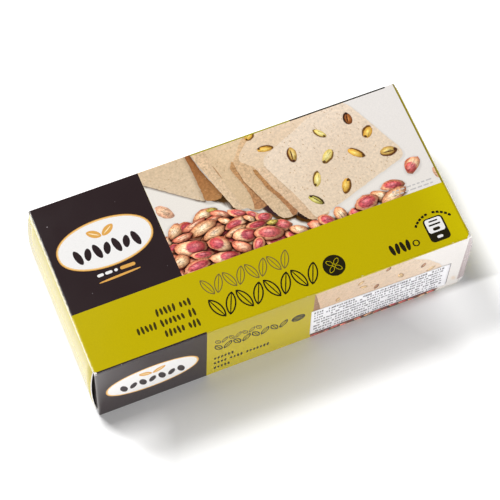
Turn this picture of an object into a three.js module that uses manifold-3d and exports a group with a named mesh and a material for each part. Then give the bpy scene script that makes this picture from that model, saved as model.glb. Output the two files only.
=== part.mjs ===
// A folding carton that holds a 400 g block of halva: one sheet of board, folded and glued shut
// at both ends, with a paper slip pasted on the front panel. It is closed, so it is one solid.
// Millimetres, +Z up, +X along the carton, the front panel towards -Y.
import * as THREE from "three";
import { mergeVertices } from "three/addons/utils/BufferGeometryUtils.js";
import Module from "manifold-3d";

// Driving dimensions, crease to crease
const LENGTH = 150;
const WIDTH = 71;
const HEIGHT = 41.7;
const BOARD = 0.45; // thickness of the board
const CREASE_RADIUS = 0.6; // outside radius of a folded crease
const CREASE_STEPS = 2; // facets on each half of a crease

// Each panel swells a little over the block inside, and the front stays flat
const TOP_SWELL = 0.4;
const BACK_SWELL = 0.4;

// The outer end flaps hang from the top panel and are glued down over the dust flaps
const FLAP_FOOT = 1.2; // from the base up to a flap's free edge
const FLAP_SET = 8; // height over which a flap rises clear of the top crease
const STEP_WIDTH = 0.04; // width of the nearly upright wall at a flap's cut edge
const LEFT_MARGIN = 1.6; // from the front or back crease to the left flap's cut edge
const LEFT_BOW = 1.3; // how far the left flap bows out at half its height
const RIGHT_MARGIN = 2;
const SLIT_DEPTH = 4; // open gap behind the bowed flap, inwards from its cut edge
const SLIT_SKIN = 0.05; // the gap stops this far from the dust flap's face
const SLIT_LEAST = 0.12; // a narrower gap than this stays closed
const SLIT_POINTS = 18;

// The right end's dust flaps spring outwards, so that whole end bulges
const RIGHT_BULGE = 2.5;
const BULGE_SIDE = 1; // shoulder next to the front and back creases
const BULGE_TURN = 0.85; // one more row of points this far from those creases
const BULGE_TOP = 14; // shoulder below the top crease
const BULGE_FOOT = 2.2; // shoulder above the base

// The pasted slip: its corners on the front panel as [from the left, up from the base]
const SLIP_THICKNESS = 0.15;
const SLIP_CORNERS = [[86.4, 3.9], [143.9, 3.7], [143.9, 22.5], [86.1, 25.3]];

// Mesh spacing between the creases
const X_PARTS = 14;
const Y_PARTS = 10;
const Z_PARTS = 12;

const halfLength = LENGTH / 2;
const halfWidth = WIDTH / 2;

// Rises from 0 at distance 0 to 1 at the given reach, flattening out on the way.
function shoulder(distance, reach) {
  return distance >= reach ? 1 : 1 - (1 - distance / reach) ** 2;
}

// Positions from low to high: close together round both creases, even between them, with extras.
function stations(low, high, parts, extras = []) {
  const found = new Set([low, high, ...extras]);
  for (let i = 0; i < CREASE_STEPS; i++) {
    const inset = CREASE_RADIUS * (1 - Math.tan((Math.PI / 4) * (i / CREASE_STEPS)));
    found.add(low + inset).add(high - inset);
  }
  for (let i = 1; i < parts; i++) found.add(low + ((high - low) * i) / parts);
  return [...found].sort((a, b) => a - b);
}

// Both sides of the step at each cut edge of a flap.
function edgePair(place) {
  return [place - STEP_WIDTH / 2, place + STEP_WIDTH / 2];
}

// A point of the sharp-edged box, drawn in to the rounded crease where it is near one.
function creased(x, y, z) {
  const inner = new THREE.Vector3(
    THREE.MathUtils.clamp(x, CREASE_RADIUS - halfLength, halfLength - CREASE_RADIUS),
    THREE.MathUtils.clamp(y, CREASE_RADIUS - halfWidth, halfWidth - CREASE_RADIUS),
    THREE.MathUtils.clamp(z, CREASE_RADIUS, HEIGHT - CREASE_RADIUS),
  );
  const out = new THREE.Vector3(x, y, z).sub(inner).setLength(CREASE_RADIUS);
  return inner.add(out);
}

// How far a panel swells: the full amount in its middle, nothing at its four creases.
function swell(amount, a, halfA, b, halfB) {
  return amount * (1 - (a / halfA) ** 2) * (1 - (b / halfB) ** 2);
}

// How far the left outer flap's face stands off the dust flaps at a depth below the top.
function leftLift(depth) {
  const along = Math.min(depth / (HEIGHT - FLAP_FOOT), 1);
  return BOARD * shoulder(depth, FLAP_SET) + LEFT_BOW * Math.sin(Math.PI * along);
}

function onFlap(y, z, margin) {
  return Math.abs(y) < halfWidth - margin && z > FLAP_FOOT;
}

function leftOffset(y, z) {
  return onFlap(y, z, LEFT_MARGIN) ? leftLift(HEIGHT - z) : 0;
}

function rightOffset(y, z) {
  const depth = HEIGHT - z;
  const fromCrease = halfWidth - Math.abs(y);
  const bulge = RIGHT_BULGE * shoulder(fromCrease, BULGE_SIDE)
    * shoulder(depth, BULGE_TOP) * shoulder(z, BULGE_FOOT);
  return bulge + (onFlap(y, z, RIGHT_MARGIN) ? BOARD * shoulder(depth, FLAP_SET) : 0);
}

// Triangles over a grid of points, with place(u, v) giving each one; u cross v faces outwards.
function panel(us, vs, place) {
  const triangles = [];
  for (let i = 0; i + 1 < us.length; i++)
    for (let j = 0; j + 1 < vs.length; j++) {
      const corners = [[i, j], [i + 1, j], [i + 1, j + 1], [i, j + 1]];
      const [a, b, c, d] = corners.map(([m, n]) => place(us[m], vs[n]).toArray());
      triangles.push(...a, ...b, ...c, ...a, ...c, ...d);
    }
  return triangles;
}

// The closed skin of the folded carton, panel by panel.
function cartonSkin() {
  const flapEdges = [LEFT_MARGIN, RIGHT_MARGIN].flatMap((m) => edgePair(halfWidth - m));
  const sideExtras = flapEdges.flatMap((y) => [y, -y]);
  const footExtras = [...edgePair(FLAP_FOOT), HEIGHT - FLAP_SET / 2, HEIGHT - FLAP_SET];
  const shoulders = [halfWidth - BULGE_TURN, BULGE_TURN - halfWidth];
  const xs = stations(-halfLength, halfLength, X_PARTS);
  const ys = stations(-halfWidth, halfWidth, Y_PARTS, [...sideExtras, ...shoulders]);
  const zs = stations(0, HEIGHT, Z_PARTS, footExtras);
  const middle = HEIGHT / 2;
  const right = new THREE.Vector3(1, 0, 0);
  const back = new THREE.Vector3(0, 1, 0);
  const up = new THREE.Vector3(0, 0, 1);
  const moved = (x, y, z, way, by) => creased(x, y, z).addScaledVector(way, by);
  const positions = [
    ...panel(xs, ys, (x, y) =>
      moved(x, y, HEIGHT, up, swell(TOP_SWELL, x, halfLength, y, halfWidth))),
    ...panel(ys, xs, (y, x) => creased(x, y, 0)),
    ...panel(xs, zs, (x, z) => creased(x, -halfWidth, z)),
    ...panel(zs, xs, (z, x) =>
      moved(x, halfWidth, z, back, swell(BACK_SWELL, x, halfLength, z - middle, middle))),
    ...panel(ys, zs, (y, z) => moved(halfLength, y, z, right, rightOffset(y, z))),
    ...panel(zs, ys, (z, y) => moved(-halfLength, y, z, right, -leftOffset(y, z))),
  ];
  const skin = new THREE.BufferGeometry();
  skin.setAttribute("position", new THREE.Float32BufferAttribute(positions, 3));
  return skin;
}

// What is cut out behind the left flap at its front or back edge: a slit as long as the bow.
function slitBehindFlap(side) {
  const outer = [];
  for (let i = 0; i <= SLIT_POINTS; i++) {
    const depth = ((HEIGHT - FLAP_FOOT) * i) / SLIT_POINTS;
    const gap = leftLift(depth) - BOARD;
    if (gap > SLIT_LEAST) outer.push(new THREE.Vector2(-halfLength - gap, HEIGHT - depth));
  }
  const inner = [...outer].reverse().map((p) => new THREE.Vector2(-halfLength - SLIT_SKIN, p.y));
  const reach = LEFT_MARGIN + SLIT_DEPTH + BOARD;
  const slit = new THREE.ExtrudeGeometry(new THREE.Shape([...outer, ...inner]), {
    depth: reach,
    bevelEnabled: false,
  });
  slit.rotateX(Math.PI / 2); // the outline now stands in XZ and runs along -Y
  slit.translate(0, side < 0 ? reach - halfWidth - BOARD : halfWidth + BOARD, 0);
  return slit;
}

const wasm = await Module();
wasm.setup();

function solidOf(geometry) {
  const bare = geometry.clone();
  bare.deleteAttribute("normal");
  bare.deleteAttribute("uv");
  const merged = mergeVertices(bare, 1e-3);
  return new wasm.Manifold(new wasm.Mesh({
    numProp: 3,
    vertProperties: merged.attributes.position.array,
    triVerts: new Uint32Array(merged.index.array),
  }));
}

function geometryOf(solid) {
  const mesh = solid.getMesh();
  const geometry = new THREE.BufferGeometry();
  geometry.setAttribute("position", new THREE.BufferAttribute(mesh.vertProperties, 3));
  geometry.setIndex(new THREE.BufferAttribute(mesh.triVerts, 1));
  geometry.computeVertexNormals();
  return geometry;
}

function makeCarton() {
  const body = solidOf(cartonSkin());
  const opened = [-1, 1].reduce((left, side) => left.subtract(solidOf(slitBehindFlap(side))), body);
  const board = new THREE.MeshStandardMaterial({ color: 0xbcab0c, roughness: 0.4, metalness: 0 });
  const carton = new THREE.Mesh(geometryOf(opened), board);
  carton.name = "carton";
  return carton;
}

function makeSlip() {
  const outline = new THREE.Shape(
    SLIP_CORNERS.map(([along, up]) => new THREE.Vector2(along - halfLength, up)));
  const sheet = new THREE.ExtrudeGeometry(outline, { depth: SLIP_THICKNESS, bevelEnabled: false });
  sheet.rotateX(Math.PI / 2);
  sheet.translate(0, -halfWidth, 0);
  const paper = new THREE.MeshStandardMaterial({ color: 0xf1f0f2, roughness: 0.7, metalness: 0 });
  const slip = new THREE.Mesh(sheet, paper);
  slip.name = "paper_slip";
  return slip;
}

const part = new THREE.Group();
part.add(makeCarton(), makeSlip());

// The origin is the middle of the box that the whole part fills, at the base.
const bounds = new THREE.Box3().setFromObject(part, true);
const centre = bounds.getCenter(new THREE.Vector3());
part.position.set(-centre.x, -centre.y, -bounds.min.z);

export default part;
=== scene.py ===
# %% [markdown]
# # A printed halva carton
# This lesson dresses a folding carton: one sheet of varnished board, printed in fields of colour,
# folded round a block of halva and glued shut at both ends. A paper slip is pasted on its front.
# The imported CAD model gives the exact place and size. We load it first and keep its box, which sets
# where the carton lies.

# %% Load the imported carton
import math
import random

import bmesh
import bpy
from mathutils import Matrix, Vector
from mathutils.geometry import delaunay_2d_cdt


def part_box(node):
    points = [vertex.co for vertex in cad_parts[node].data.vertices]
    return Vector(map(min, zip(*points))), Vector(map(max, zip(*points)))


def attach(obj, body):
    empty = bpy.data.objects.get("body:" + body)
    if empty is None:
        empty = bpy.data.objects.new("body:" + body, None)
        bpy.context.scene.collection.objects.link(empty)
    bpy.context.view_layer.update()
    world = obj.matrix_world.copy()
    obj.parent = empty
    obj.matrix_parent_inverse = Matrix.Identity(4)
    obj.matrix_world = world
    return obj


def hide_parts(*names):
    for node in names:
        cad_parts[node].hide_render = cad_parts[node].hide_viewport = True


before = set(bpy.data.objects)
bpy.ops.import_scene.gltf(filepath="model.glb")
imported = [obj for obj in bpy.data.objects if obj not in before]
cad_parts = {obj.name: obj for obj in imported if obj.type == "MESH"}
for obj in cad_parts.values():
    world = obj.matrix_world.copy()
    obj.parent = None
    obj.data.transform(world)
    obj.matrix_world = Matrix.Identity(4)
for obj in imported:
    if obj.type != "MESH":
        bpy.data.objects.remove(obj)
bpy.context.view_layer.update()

MM = 0.001

# %% [markdown]
# ## Sizes
# A carton maker measures from crease to crease. We do the same: positions below are millimetres
# from the middle of the carton, with the base at zero. The bulged right end and the bowed left end
# make the whole box a little longer than its creases, so the middle between the creases isn't quite
# the middle of the box. The frame tells us where it is.

# %% Sizes from crease to crease
LENGTH, WIDTH, HEIGHT = 150.0, 71.0, 41.7
HALF_L, HALF_W = LENGTH / 2, WIDTH / 2
BOARD = 0.45  # thickness of the board
CREASE_RADIUS = 0.6
CREASE_STEPS = 4  # facets on each half of a crease
PAST_CREASE = (1.5, 3)  # radii: two rows just past the bend keep the shading flat on the panel
TOP_SWELL, BACK_SWELL = 0.4, 0.4

FLAP_FOOT = 1.2  # from the base up to a flap's free edge
FLAP_SET = 8.0  # height over which a flap rises clear of the top crease
LEFT_MARGIN, LEFT_BOW = 1.6, 1.3
RIGHT_MARGIN, RIGHT_BULGE = 2.0, 2.5
BULGE_SIDE, BULGE_TOP, BULGE_FOOT = 1.0, 14.0, 2.2

carton_low, carton_high = (Vector(c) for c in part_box("carton"))
origin = Vector((carton_high.x - (HALF_L + RIGHT_BULGE + BOARD) * MM,
                 carton_low.y + HALF_W * MM,
                 carton_low.z))
print("middle between the creases, mm:", [round(n / MM, 3) for n in origin])

# %% [markdown]
# ## The camera
# A camera is easiest to place by the direction that it looks from: turn (azimuth), height
# (elevation) and a small roll, then a distance. The columns of its matrix are its right, its up and
# its back, so we can write the matrix down instead of turning the camera by hand. The lens is long,
# as for a product picture: the carton's far end looks only a little smaller than its near end.

# %% Camera
AZIMUTH, ELEVATION, ROLL = (math.radians(n) for n in (-25.51, 64.69, 3.458))
DISTANCE, AIM_RIGHT, AIM_UP = 803.8, 1.29, 7.97  # mm
LENS, SENSOR = 147.56, 36  # mm: the focal length and the width of the sensor
NEAREST, FURTHEST = 0.01, 50  # m: what the camera sees


def in_scene(name, data):
    """A new object, linked to the scene."""
    made = bpy.data.objects.new(name, data)
    bpy.context.scene.collection.objects.link(made)
    return made


back = Vector((math.sin(AZIMUTH) * math.cos(ELEVATION),
               -math.cos(AZIMUTH) * math.cos(ELEVATION), math.sin(ELEVATION)))
level = Vector((math.cos(AZIMUTH), math.sin(AZIMUTH), 0))
over = back.cross(level)
right = math.cos(ROLL) * level + math.sin(ROLL) * over
up = -math.sin(ROLL) * level + math.cos(ROLL) * over
eye = origin + (AIM_RIGHT * right + AIM_UP * up + DISTANCE * back) * MM

lens = bpy.data.cameras.new("camera")
lens.lens, lens.sensor_width = LENS, SENSOR
lens.clip_start, lens.clip_end = NEAREST, FURTHEST
camera = in_scene("camera", lens)
camera.matrix_world = Matrix.Translation(eye) @ Matrix((right, up, back)).transposed().to_4x4()
bpy.context.scene.camera = camera
print("camera at", [round(n, 3) for n in eye])

# %% [markdown]
# ## The folded shape
# A crease in board isn't a knife edge: it is a small round bend. To round a box, clamp each point to
# a smaller box inside it, then step back out by the bend's radius. The panels aren't flat either.
# The block inside makes them swell a little in their middle, and the glued flaps at the ends bow and
# bulge. Each of these is a short rule for how far a point moves, so they are functions here.

# %% Rules for the folded shape
def shoulder(distance, reach):
    """Rises from 0 at distance 0 to 1 at the given reach, flattening out on the way."""
    return 1 if distance >= reach else 1 - (1 - max(distance, 0) / reach) ** 2


def creased(x, y, z):
    """A point of the sharp-edged box, drawn in to the rounded crease where it is near one."""
    inner = Vector((min(max(x, CREASE_RADIUS - HALF_L), HALF_L - CREASE_RADIUS),
                    min(max(y, CREASE_RADIUS - HALF_W), HALF_W - CREASE_RADIUS),
                    min(max(z, CREASE_RADIUS), HEIGHT - CREASE_RADIUS)))
    return inner + (Vector((x, y, z)) - inner).normalized() * CREASE_RADIUS


def swell(amount, a, half_a, b, half_b):
    """The full amount in the middle of a panel, and nothing at its four creases."""
    return amount * (1 - (a / half_a) ** 2) * (1 - (b / half_b) ** 2)


def left_lift(z):
    """How far the outer face of the left flap stands off the dust flaps."""
    depth = HEIGHT - z
    along = min(depth / (HEIGHT - FLAP_FOOT), 1)
    return BOARD * shoulder(depth, FLAP_SET) + LEFT_BOW * math.sin(math.pi * along)


def right_bulge(y, z):
    """How far the right end's dust flaps spring out."""
    return (RIGHT_BULGE * shoulder(HALF_W - abs(y), BULGE_SIDE)
            * shoulder(HEIGHT - z, BULGE_TOP) * shoulder(z, BULGE_FOOT))


def stations(low, high, spacing, extras=()):
    """Positions from low to high: close together round both creases, even between them."""
    found = {low, high, *extras}
    for i in range(CREASE_STEPS + 1):
        inset = CREASE_RADIUS * (1 - math.tan(math.pi / 4 * i / CREASE_STEPS))
        found |= {low + inset, high - inset}
    for beyond in PAST_CREASE:
        found |= {low + beyond * CREASE_RADIUS, high - beyond * CREASE_RADIUS}
    count = round((high - low) / spacing)
    found |= {low + (high - low) * i / count for i in range(1, count)}
    return sorted(n for n in found if low <= n <= high)


print("left flap bows out", round(left_lift(HEIGHT / 2), 2), "mm at half its height")

# %% [markdown]
# ## How the print is made
# Print could be an image, or a pattern in the material. Here it is cut into the mesh itself, like
# an inlay in wood: each panel's flat sheet is cut along the outline of every printed shape, and each
# piece of the sheet keeps its own ink in a colour attribute. Edges then stay sharp at any distance.
# Blender's constrained Delaunay triangulation does the cutting. It takes overlapping outlines and
# tells us, for every triangle, which of them it lies in. The one painted last is the one on top.
#
# A page also has shades. A shade isn't an ink but a factor, and darkens what is below it, as a soft
# shadow does.

# %% Inks
def ink(red, green, blue):
    """An ink from its red, green and blue as a screen shows them (0 to 255), in linear light."""
    scaled = (n / 255 for n in (red, green, blue))
    return tuple(n / 12.92 if n <= 0.04045 else ((n + 0.055) / 1.055) ** 2.4 for n in scaled)


def mix(a, b, t):
    """From a at t=0 to b at t=1, for numbers or inks."""
    t = min(max(t, 0), 1)
    if isinstance(a, tuple):
        return tuple(m + (n - m) * t for m, n in zip(a, b))
    return a + (b - a) * t


def ease(t):
    """0 to 1 with a soft start and a soft end."""
    t = min(max(t, 0), 1)
    return t * t * (3 - 2 * t)


GREEN = ink(190, 172, 0)
DARK = ink(44, 32, 34)
GROUND = ink(232, 228, 225)
WHITE = ink(238, 236, 234)
GOLD = ink(222, 165, 82)
BARE_BOARD = ink(236, 231, 226)
print("green ink in linear light:", [round(n, 3) for n in GREEN])

# %% [markdown]
# ## Outlines
# A page is measured as a printer measures it: `u` from the left, `v` down from the top. These
# helpers give closed outlines as lists of points. An almond is an oval whose ends are drawn out to
# a point, which makes nuts, kernels, leaves and petals out of one rule. An outline that follows no
# rule is written as a text of its points.

# %% Helpers for outlines
TINY = 1e-12  # keeps a division from failing


def turned(points, centre, turn):
    """Points turned about the origin and moved to the centre. A positive turn is clockwise."""
    c, s = math.cos(math.radians(turn)), math.sin(math.radians(turn))
    return [(centre[0] + p * c - q * s, centre[1] + p * s + q * c) for p, q in points]


def beside(centre, turn, along, across):
    """The point that far from a centre, along and across the turn."""
    return turned([(along, across)], centre, turn)[0]


def path(text):
    """An outline from a text of its u,v pairs."""
    return [tuple(float(n) for n in pair.split(",")) for pair in text.split()]


def rect(left, top_edge, right_edge, foot):
    """The four corners of an upright rectangle."""
    return [(left, top_edge), (right_edge, top_edge), (right_edge, foot), (left, foot)]


def almond(centre, long, wide, turn=0.0, point=1.0, steps=24, bend=0.0):
    """An oval of full length and width. A point above 1 sharpens its ends, and a bend curves it."""
    points = []
    for i in range(steps):
        t = 2 * math.pi * i / steps
        across = math.copysign(abs(math.sin(t)) ** point, math.sin(t)) / 2
        points.append((long / 2 * math.cos(t), wide * (across + bend * (math.sin(t) ** 2 - 0.5))))
    return turned(points, centre, turn)


def plate(centre, wide, high, corner, turn=0.0, steps=4):
    """A rectangle with round corners."""
    points = []
    for k, (sx, sy) in enumerate(((1, 1), (-1, 1), (-1, -1), (1, -1))):
        for i in range(steps + 1):
            t = math.pi / 2 * (k + i / steps)
            points.append((sx * (wide / 2 - corner) + corner * math.cos(t),
                           sy * (high / 2 - corner) + corner * math.sin(t)))
    return turned(points, centre, turn)


def grown(outline, by):
    """The outline moved outwards by the same distance all round."""
    middle = (sum(p[0] for p in outline) / len(outline), sum(p[1] for p in outline) / len(outline))
    out = []
    for i, here in enumerate(outline):
        before, after = outline[i - 1], outline[(i + 1) % len(outline)]
        normal = Vector((after[1] - before[1], before[0] - after[0])).normalized()
        if normal.dot(Vector(here) - Vector(middle)) < 0:
            normal.negate()
        out.append((here[0] + normal.x * by, here[1] + normal.y * by))
    return out


def gap_to(outline):
    """A function that gives a point's distance from the outline, 0 inside it."""
    ends = [(Vector(outline[i - 1]), Vector(p)) for i, p in enumerate(outline)]

    def gap(u, v):
        here, inside, least = Vector((u, v)), False, math.inf
        for a, b in ends:
            if (a.y > v) != (b.y > v) and u < a.x + (v - a.y) / (b.y - a.y) * (b.x - a.x):
                inside = not inside
            along = b - a
            t = min(max((here - a).dot(along) / max(along.length_squared, TINY), 0), 1)
            least = min(least, (here - a - along * t).length)
        return 0.0 if inside else least

    return gap


print("an almond of 24 points starts at", almond((0, 0), 4, 2)[0])

# %% [markdown]
# ## A page
# The page holds its shapes in the order they are painted. An outline that runs past the page's edge
# is clipped to it. The points where it meets the edge matter to the neighbour as well: both panels
# must have them, or a hairline crack opens along the crease. So every page can say which points lie
# on its edge.

# %% The page
EDGE = 1e-6  # mm: a point this near a page's edge lies on it
SLIVER = 0.02  # mm2: less than this of a shape on the page isn't worth painting


class Page:
    """One panel's sheet: its size, its shapes, and where its points go on the sharp-edged box."""

    def __init__(self, name, wide, high, place, ground):
        self.name, self.wide, self.high, self.place = name, wide, high, place
        self.shapes, self.boxes, self.seeds = [], [], []
        self.paint(rect(0, 0, wide, high), ground)

    def clip(self, outline):
        """The part of an outline on the page, cut along one edge of the page after another."""
        for axis, limit, side in ((0, 0, 1), (0, self.wide, -1), (1, 0, 1), (1, self.high, -1)):
            kept = []
            for i, here in enumerate(outline):
                before = outline[i - 1]
                ins, was = ((p[axis] - limit) * side >= 0 for p in (here, before))
                if ins != was:
                    t = (limit - before[axis]) / (here[axis] - before[axis])
                    cut = [before[k] + (here[k] - before[k]) * t for k in (0, 1)]
                    cut[axis] = limit
                    kept.append(tuple(cut))
                if ins:
                    kept.append(here)
            outline = kept
        outline = [p for i, p in enumerate(outline) if math.dist(p, outline[i - 1]) > EDGE]
        area = sum(a[0] * b[1] - a[1] * b[0] for a, b in zip(outline[-1:] + outline, outline))
        return outline if abs(area) > SLIVER else []

    def paint(self, outline, fill, grain=0.0, seeds=(), shade=False):
        """Adds a shape. The fill is an ink, or a function of (u, v) that gives one."""
        outline = self.clip(outline)
        if len(outline) > 2:
            self.shapes.append((outline, fill, grain, shade))
            self.boxes.append([f(p[i] for p in outline) for i in (0, 1) for f in (min, max)])
            self.seeds += [p for p in seeds if 0 < p[0] < self.wide and 0 < p[1] < self.high]

    def shade(self, outline, factor, seeds=()):
        """Adds a shade: a function of (u, v) that gives what red, green and blue are multiplied by."""
        self.paint(outline, factor, seeds=seeds, shade=True)

    def ink_at(self, owners, u, v):
        """The ink and the grain where the shapes with these numbers lie over each other."""
        top = max(k for k in owners if not self.shapes[k][3])
        fill, grain = self.shapes[top][1:3]
        colour = fill(u, v) if callable(fill) else fill
        for k in sorted(owners):
            if k > top:
                colour = tuple(n * m for n, m in zip(colour, self.shapes[k][1](u, v)))
        return colour, grain

    def edge_points(self):
        """Where the shapes meet the page's edge, as points of the sharp-edged box."""
        return [self.place(u, v) for outline, *_ in self.shapes for u, v in outline
                if min(u, v, self.wide - u, self.high - v) < EDGE]


top = Page("top", LENGTH, WIDTH, lambda u, v: (u - HALF_L, HALF_W - v, HEIGHT), GREEN)
front = Page("front", LENGTH, HEIGHT, lambda u, v: (u - HALF_L, -HALF_W, HEIGHT - v), GROUND)
rear = Page("rear", LENGTH, HEIGHT, lambda u, v: (HALF_L - u, HALF_W, HEIGHT - v), GROUND)
base = Page("base", LENGTH, WIDTH, lambda u, v: (u - HALF_L, v - HALF_W, 0), GREEN)
left_end = Page("left_end", WIDTH, HEIGHT, lambda u, v: (-HALF_L, HALF_W - u, HEIGHT - v), DARK)
right_end = Page("right_end", WIDTH, HEIGHT, lambda u, v: (HALF_L, u - HALF_W, HEIGHT - v), GROUND)
pages = [top, front, rear, base, left_end, right_end]
print("pages:", ", ".join(page.name for page in pages))

# %% [markdown]
# ## Halva in the picture
# The large picture on the top shows slabs of halva that lean on each other. A slab is given by the
# corners of what is seen of it, and a helper rounds them. Crumbly halva breaks unevenly: more points
# go along the outline, each pushed in or out a little. A slab also has streaks and small pits. A
# shade round an outline drops a soft shadow on what lies below.

# %% Slabs
FACE = [(238, 219, 198), (228, 207, 180)]  # a slab's tone at its top and at its foot
SIDE = [(232, 204, 172), (218, 186, 150)]
GAP, PIT = ink(164, 106, 58), ink(190, 152, 112)
CRUMB, SIDE_CRUMB, STRIP_CRUMB = 0.75, 1.4, 2.2  # the grain on a face, on a cut side and in a crack
BREAK, BREAK_STEP = 0.12, 1.1  # mm: how far a broken edge strays, and how far apart its points are
PIT_SPACE, STREAK_SPACE = 7.5, 13  # mm2 of halva to each pit and to each streak
STREAKS = (0.93, 0.95, 0.97, 1.03, 1.05)  # how much darker or lighter a streak is
WARM = (0.94, 1.0, 1.04)  # a shadow takes a little less red and more blue away
SPILL_LOSS, SPILL_REACH = 0.8, 1.2  # how a shadow fades outside the area that it is kept to
# Loose points along copies of a shape, at these shares of its reach or size, keep its shading smooth
SHADE_RINGS, NUT_RINGS, PATCH_RINGS = (0.3, 0.6), (0.34, 0.62, 0.84), (0.4, 0.6, 0.76, 0.9)


def rounded(corners, radius, steps=4):
    """A closed outline through the corners, each of them rounded."""
    out = []
    for i, here in enumerate(corners):
        here, before, after = (Vector(p) for p in (here, corners[i - 1], corners[(i + 1) % len(corners)]))
        start, end = ((other - here).normalized() * min(radius, (other - here).length * 0.45) + here
                      for other in (before, after))
        for k in range(steps + 1):
            t = k / steps
            out.append(tuple(start * (1 - t) ** 2 + here * (2 * t * (1 - t)) + end * t * t))
    return out


def crumbled(outline, amount, seed, step=1.3):
    """The outline with points added along it, each pushed in or out a little like a broken edge."""
    pick, out = random.Random(seed), []
    for i, here in enumerate(outline):
        before = outline[i - 1]
        count = max(1, round(math.dist(here, before) / step))
        for k in range(count):
            t = (k + 1) / count
            out.append(tuple(before[j] + (here[j] - before[j]) * t + pick.uniform(-amount, amount)
                             for j in (0, 1)))
    return out


def drop_shadow(page, outline, shift, reach, depth, within=None):
    """Darkens what lies below an outline: most against it, and not at all at the reach."""
    moved = [(u + shift[0], v + shift[1]) for u, v in outline]
    gap = gap_to(moved)

    def factor(u, v):
        dark = depth * (1 - ease(gap(u, v) / reach))
        if within:
            dark *= 1 - SPILL_LOSS * ease(within(u, v) / SPILL_REACH)
        return tuple(max(0, 1 - dark * n) for n in WARM)

    near = [p for share in SHADE_RINGS for p in grown(moved, reach * share)]
    page.shade(grown(moved, reach), factor, seeds=moved + near)


def streak(page, centre, long, wide, turn, factor, warm=1.0):
    """A thin mark that is lighter or darker than what it lies on."""
    tint = (factor, factor * warm, factor * warm)
    page.shade(almond(centre, long, wide, turn, 1.3, 6), lambda u, v: tint)


def paint_slab(page, corners, radius, tones, grain, seed, shadow=None):
    """A face or a side of a slab of halva: its shadow, its broken outline, its streaks and its pits."""
    tones = [ink(*tone) for tone in tones]
    outline = crumbled(rounded(corners, radius), BREAK, seed, BREAK_STEP)
    if shadow:
        drop_shadow(page, rounded(corners, radius), *shadow)
    low, high = (Vector([f(p[i] for p in outline) for i in (0, 1)]) for f in (min, max))
    size, pick = high - low, random.Random(seed + 9)
    grid = [(low.x + size.x * i / 10, low.y + size.y * j / 8) for i in range(1, 10) for j in range(1, 8)]
    page.paint(outline, lambda u, v: mix(*tones, (v - low.y) / size.y), grain, seeds=grid)
    inside = gap_to(outline)

    def spots(space, margin):
        """Random places on the slab, well inside its outline."""
        for _ in range(round(size.x * size.y / space)):
            u, v = pick.uniform(low.x, high.x), pick.uniform(low.y, high.y)
            if not any(inside(u + a, v + b) for a, b in ((-margin, 0), (margin, 0), (0, margin))):
                yield u, v

    for spot in spots(STREAK_SPACE, 1.0):
        streak(page, spot, pick.uniform(0.8, 2.6), pick.uniform(0.3, 0.7), pick.uniform(20, 130),
               pick.choice(STREAKS))
    for spot in spots(PIT_SPACE, 0.6):
        pit = almond(spot, pick.uniform(0.4, 1.0), pick.uniform(0.3, 0.46), pick.uniform(30, 120), 1, 6)
        page.paint(pit, mix(PIT, tones[1], pick.uniform(0.2, 0.8)), grain)


def from_middle(centre, long, wide, turn):
    """A function that gives 0 in the middle of an oval and 1 on its edge."""
    c, s = math.cos(math.radians(turn)), math.sin(math.radians(turn))

    def share(u, v):
        du, dv = u - centre[0], v - centre[1]
        return math.hypot((du * c + dv * s) / (long / 2), (-du * s + dv * c) / (wide / 2))

    return share


def rings(shares, centre, long, wide, *more):
    """Loose points: one in the middle of an almond, and some along smaller copies of it."""
    return [centre] + [p for n in shares for p in almond(centre, long * n, wide * n, *more)]


def paint_oval(page, centre, long, wide, turn, tones, point, grain, lit, uneven, bend=0.0):
    """A nut or a kernel: an almond whose tones run from its middle to its edge, lit from above."""
    share = from_middle(centre, long, wide, turn)

    def tone(u, v):
        place = min(share(u, v), 1) * (len(tones) - 1)
        k = min(int(place), len(tones) - 2)
        light = 1 + lit * (-(u - centre[0] + 2 * (v - centre[1])) / (long + wide))
        return tuple(n * light for n in mix(tones[k], tones[k + 1], place - k))

    pick, outline = random.Random(round(centre[0] * 10)), []
    for p in almond(centre, long, wide, turn, point, 20, bend):
        out = 1 + pick.uniform(-uneven, uneven)
        outline.append(tuple(centre[i] + (p[i] - centre[i]) * out for i in (0, 1)))
    page.paint(outline, tone, grain,
               seeds=rings(NUT_RINGS, centre, long, wide, turn, point, 14, bend))


def soft_patch(page, centre, long, wide, turn, factor, soft):
    """Tints what it lies on, fully in its middle and less and less towards its edge."""
    share = from_middle(centre, long, wide, turn)
    page.shade(almond(centre, long, wide, turn, 1, 16),
               lambda u, v: tuple(mix(1.0, n, ease((1 - share(u, v)) / soft)) for n in factor),
               seeds=rings(PATCH_RINGS, centre, long, wide, turn, 1, 12))


print("a rounded square has", len(rounded(rect(0, 0, 1, 1), 0.2)), "points")

# %% [markdown]
# A kernel in a slab is cut open by the knife. Its flesh is yellow, and its thin skin shows as a dark
# rim along one side, because the flesh is painted a little off the middle of the skin. Whole nuts
# lie in a heap: a tan shell, crimson in places, with a few wrinkles along it.

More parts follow.
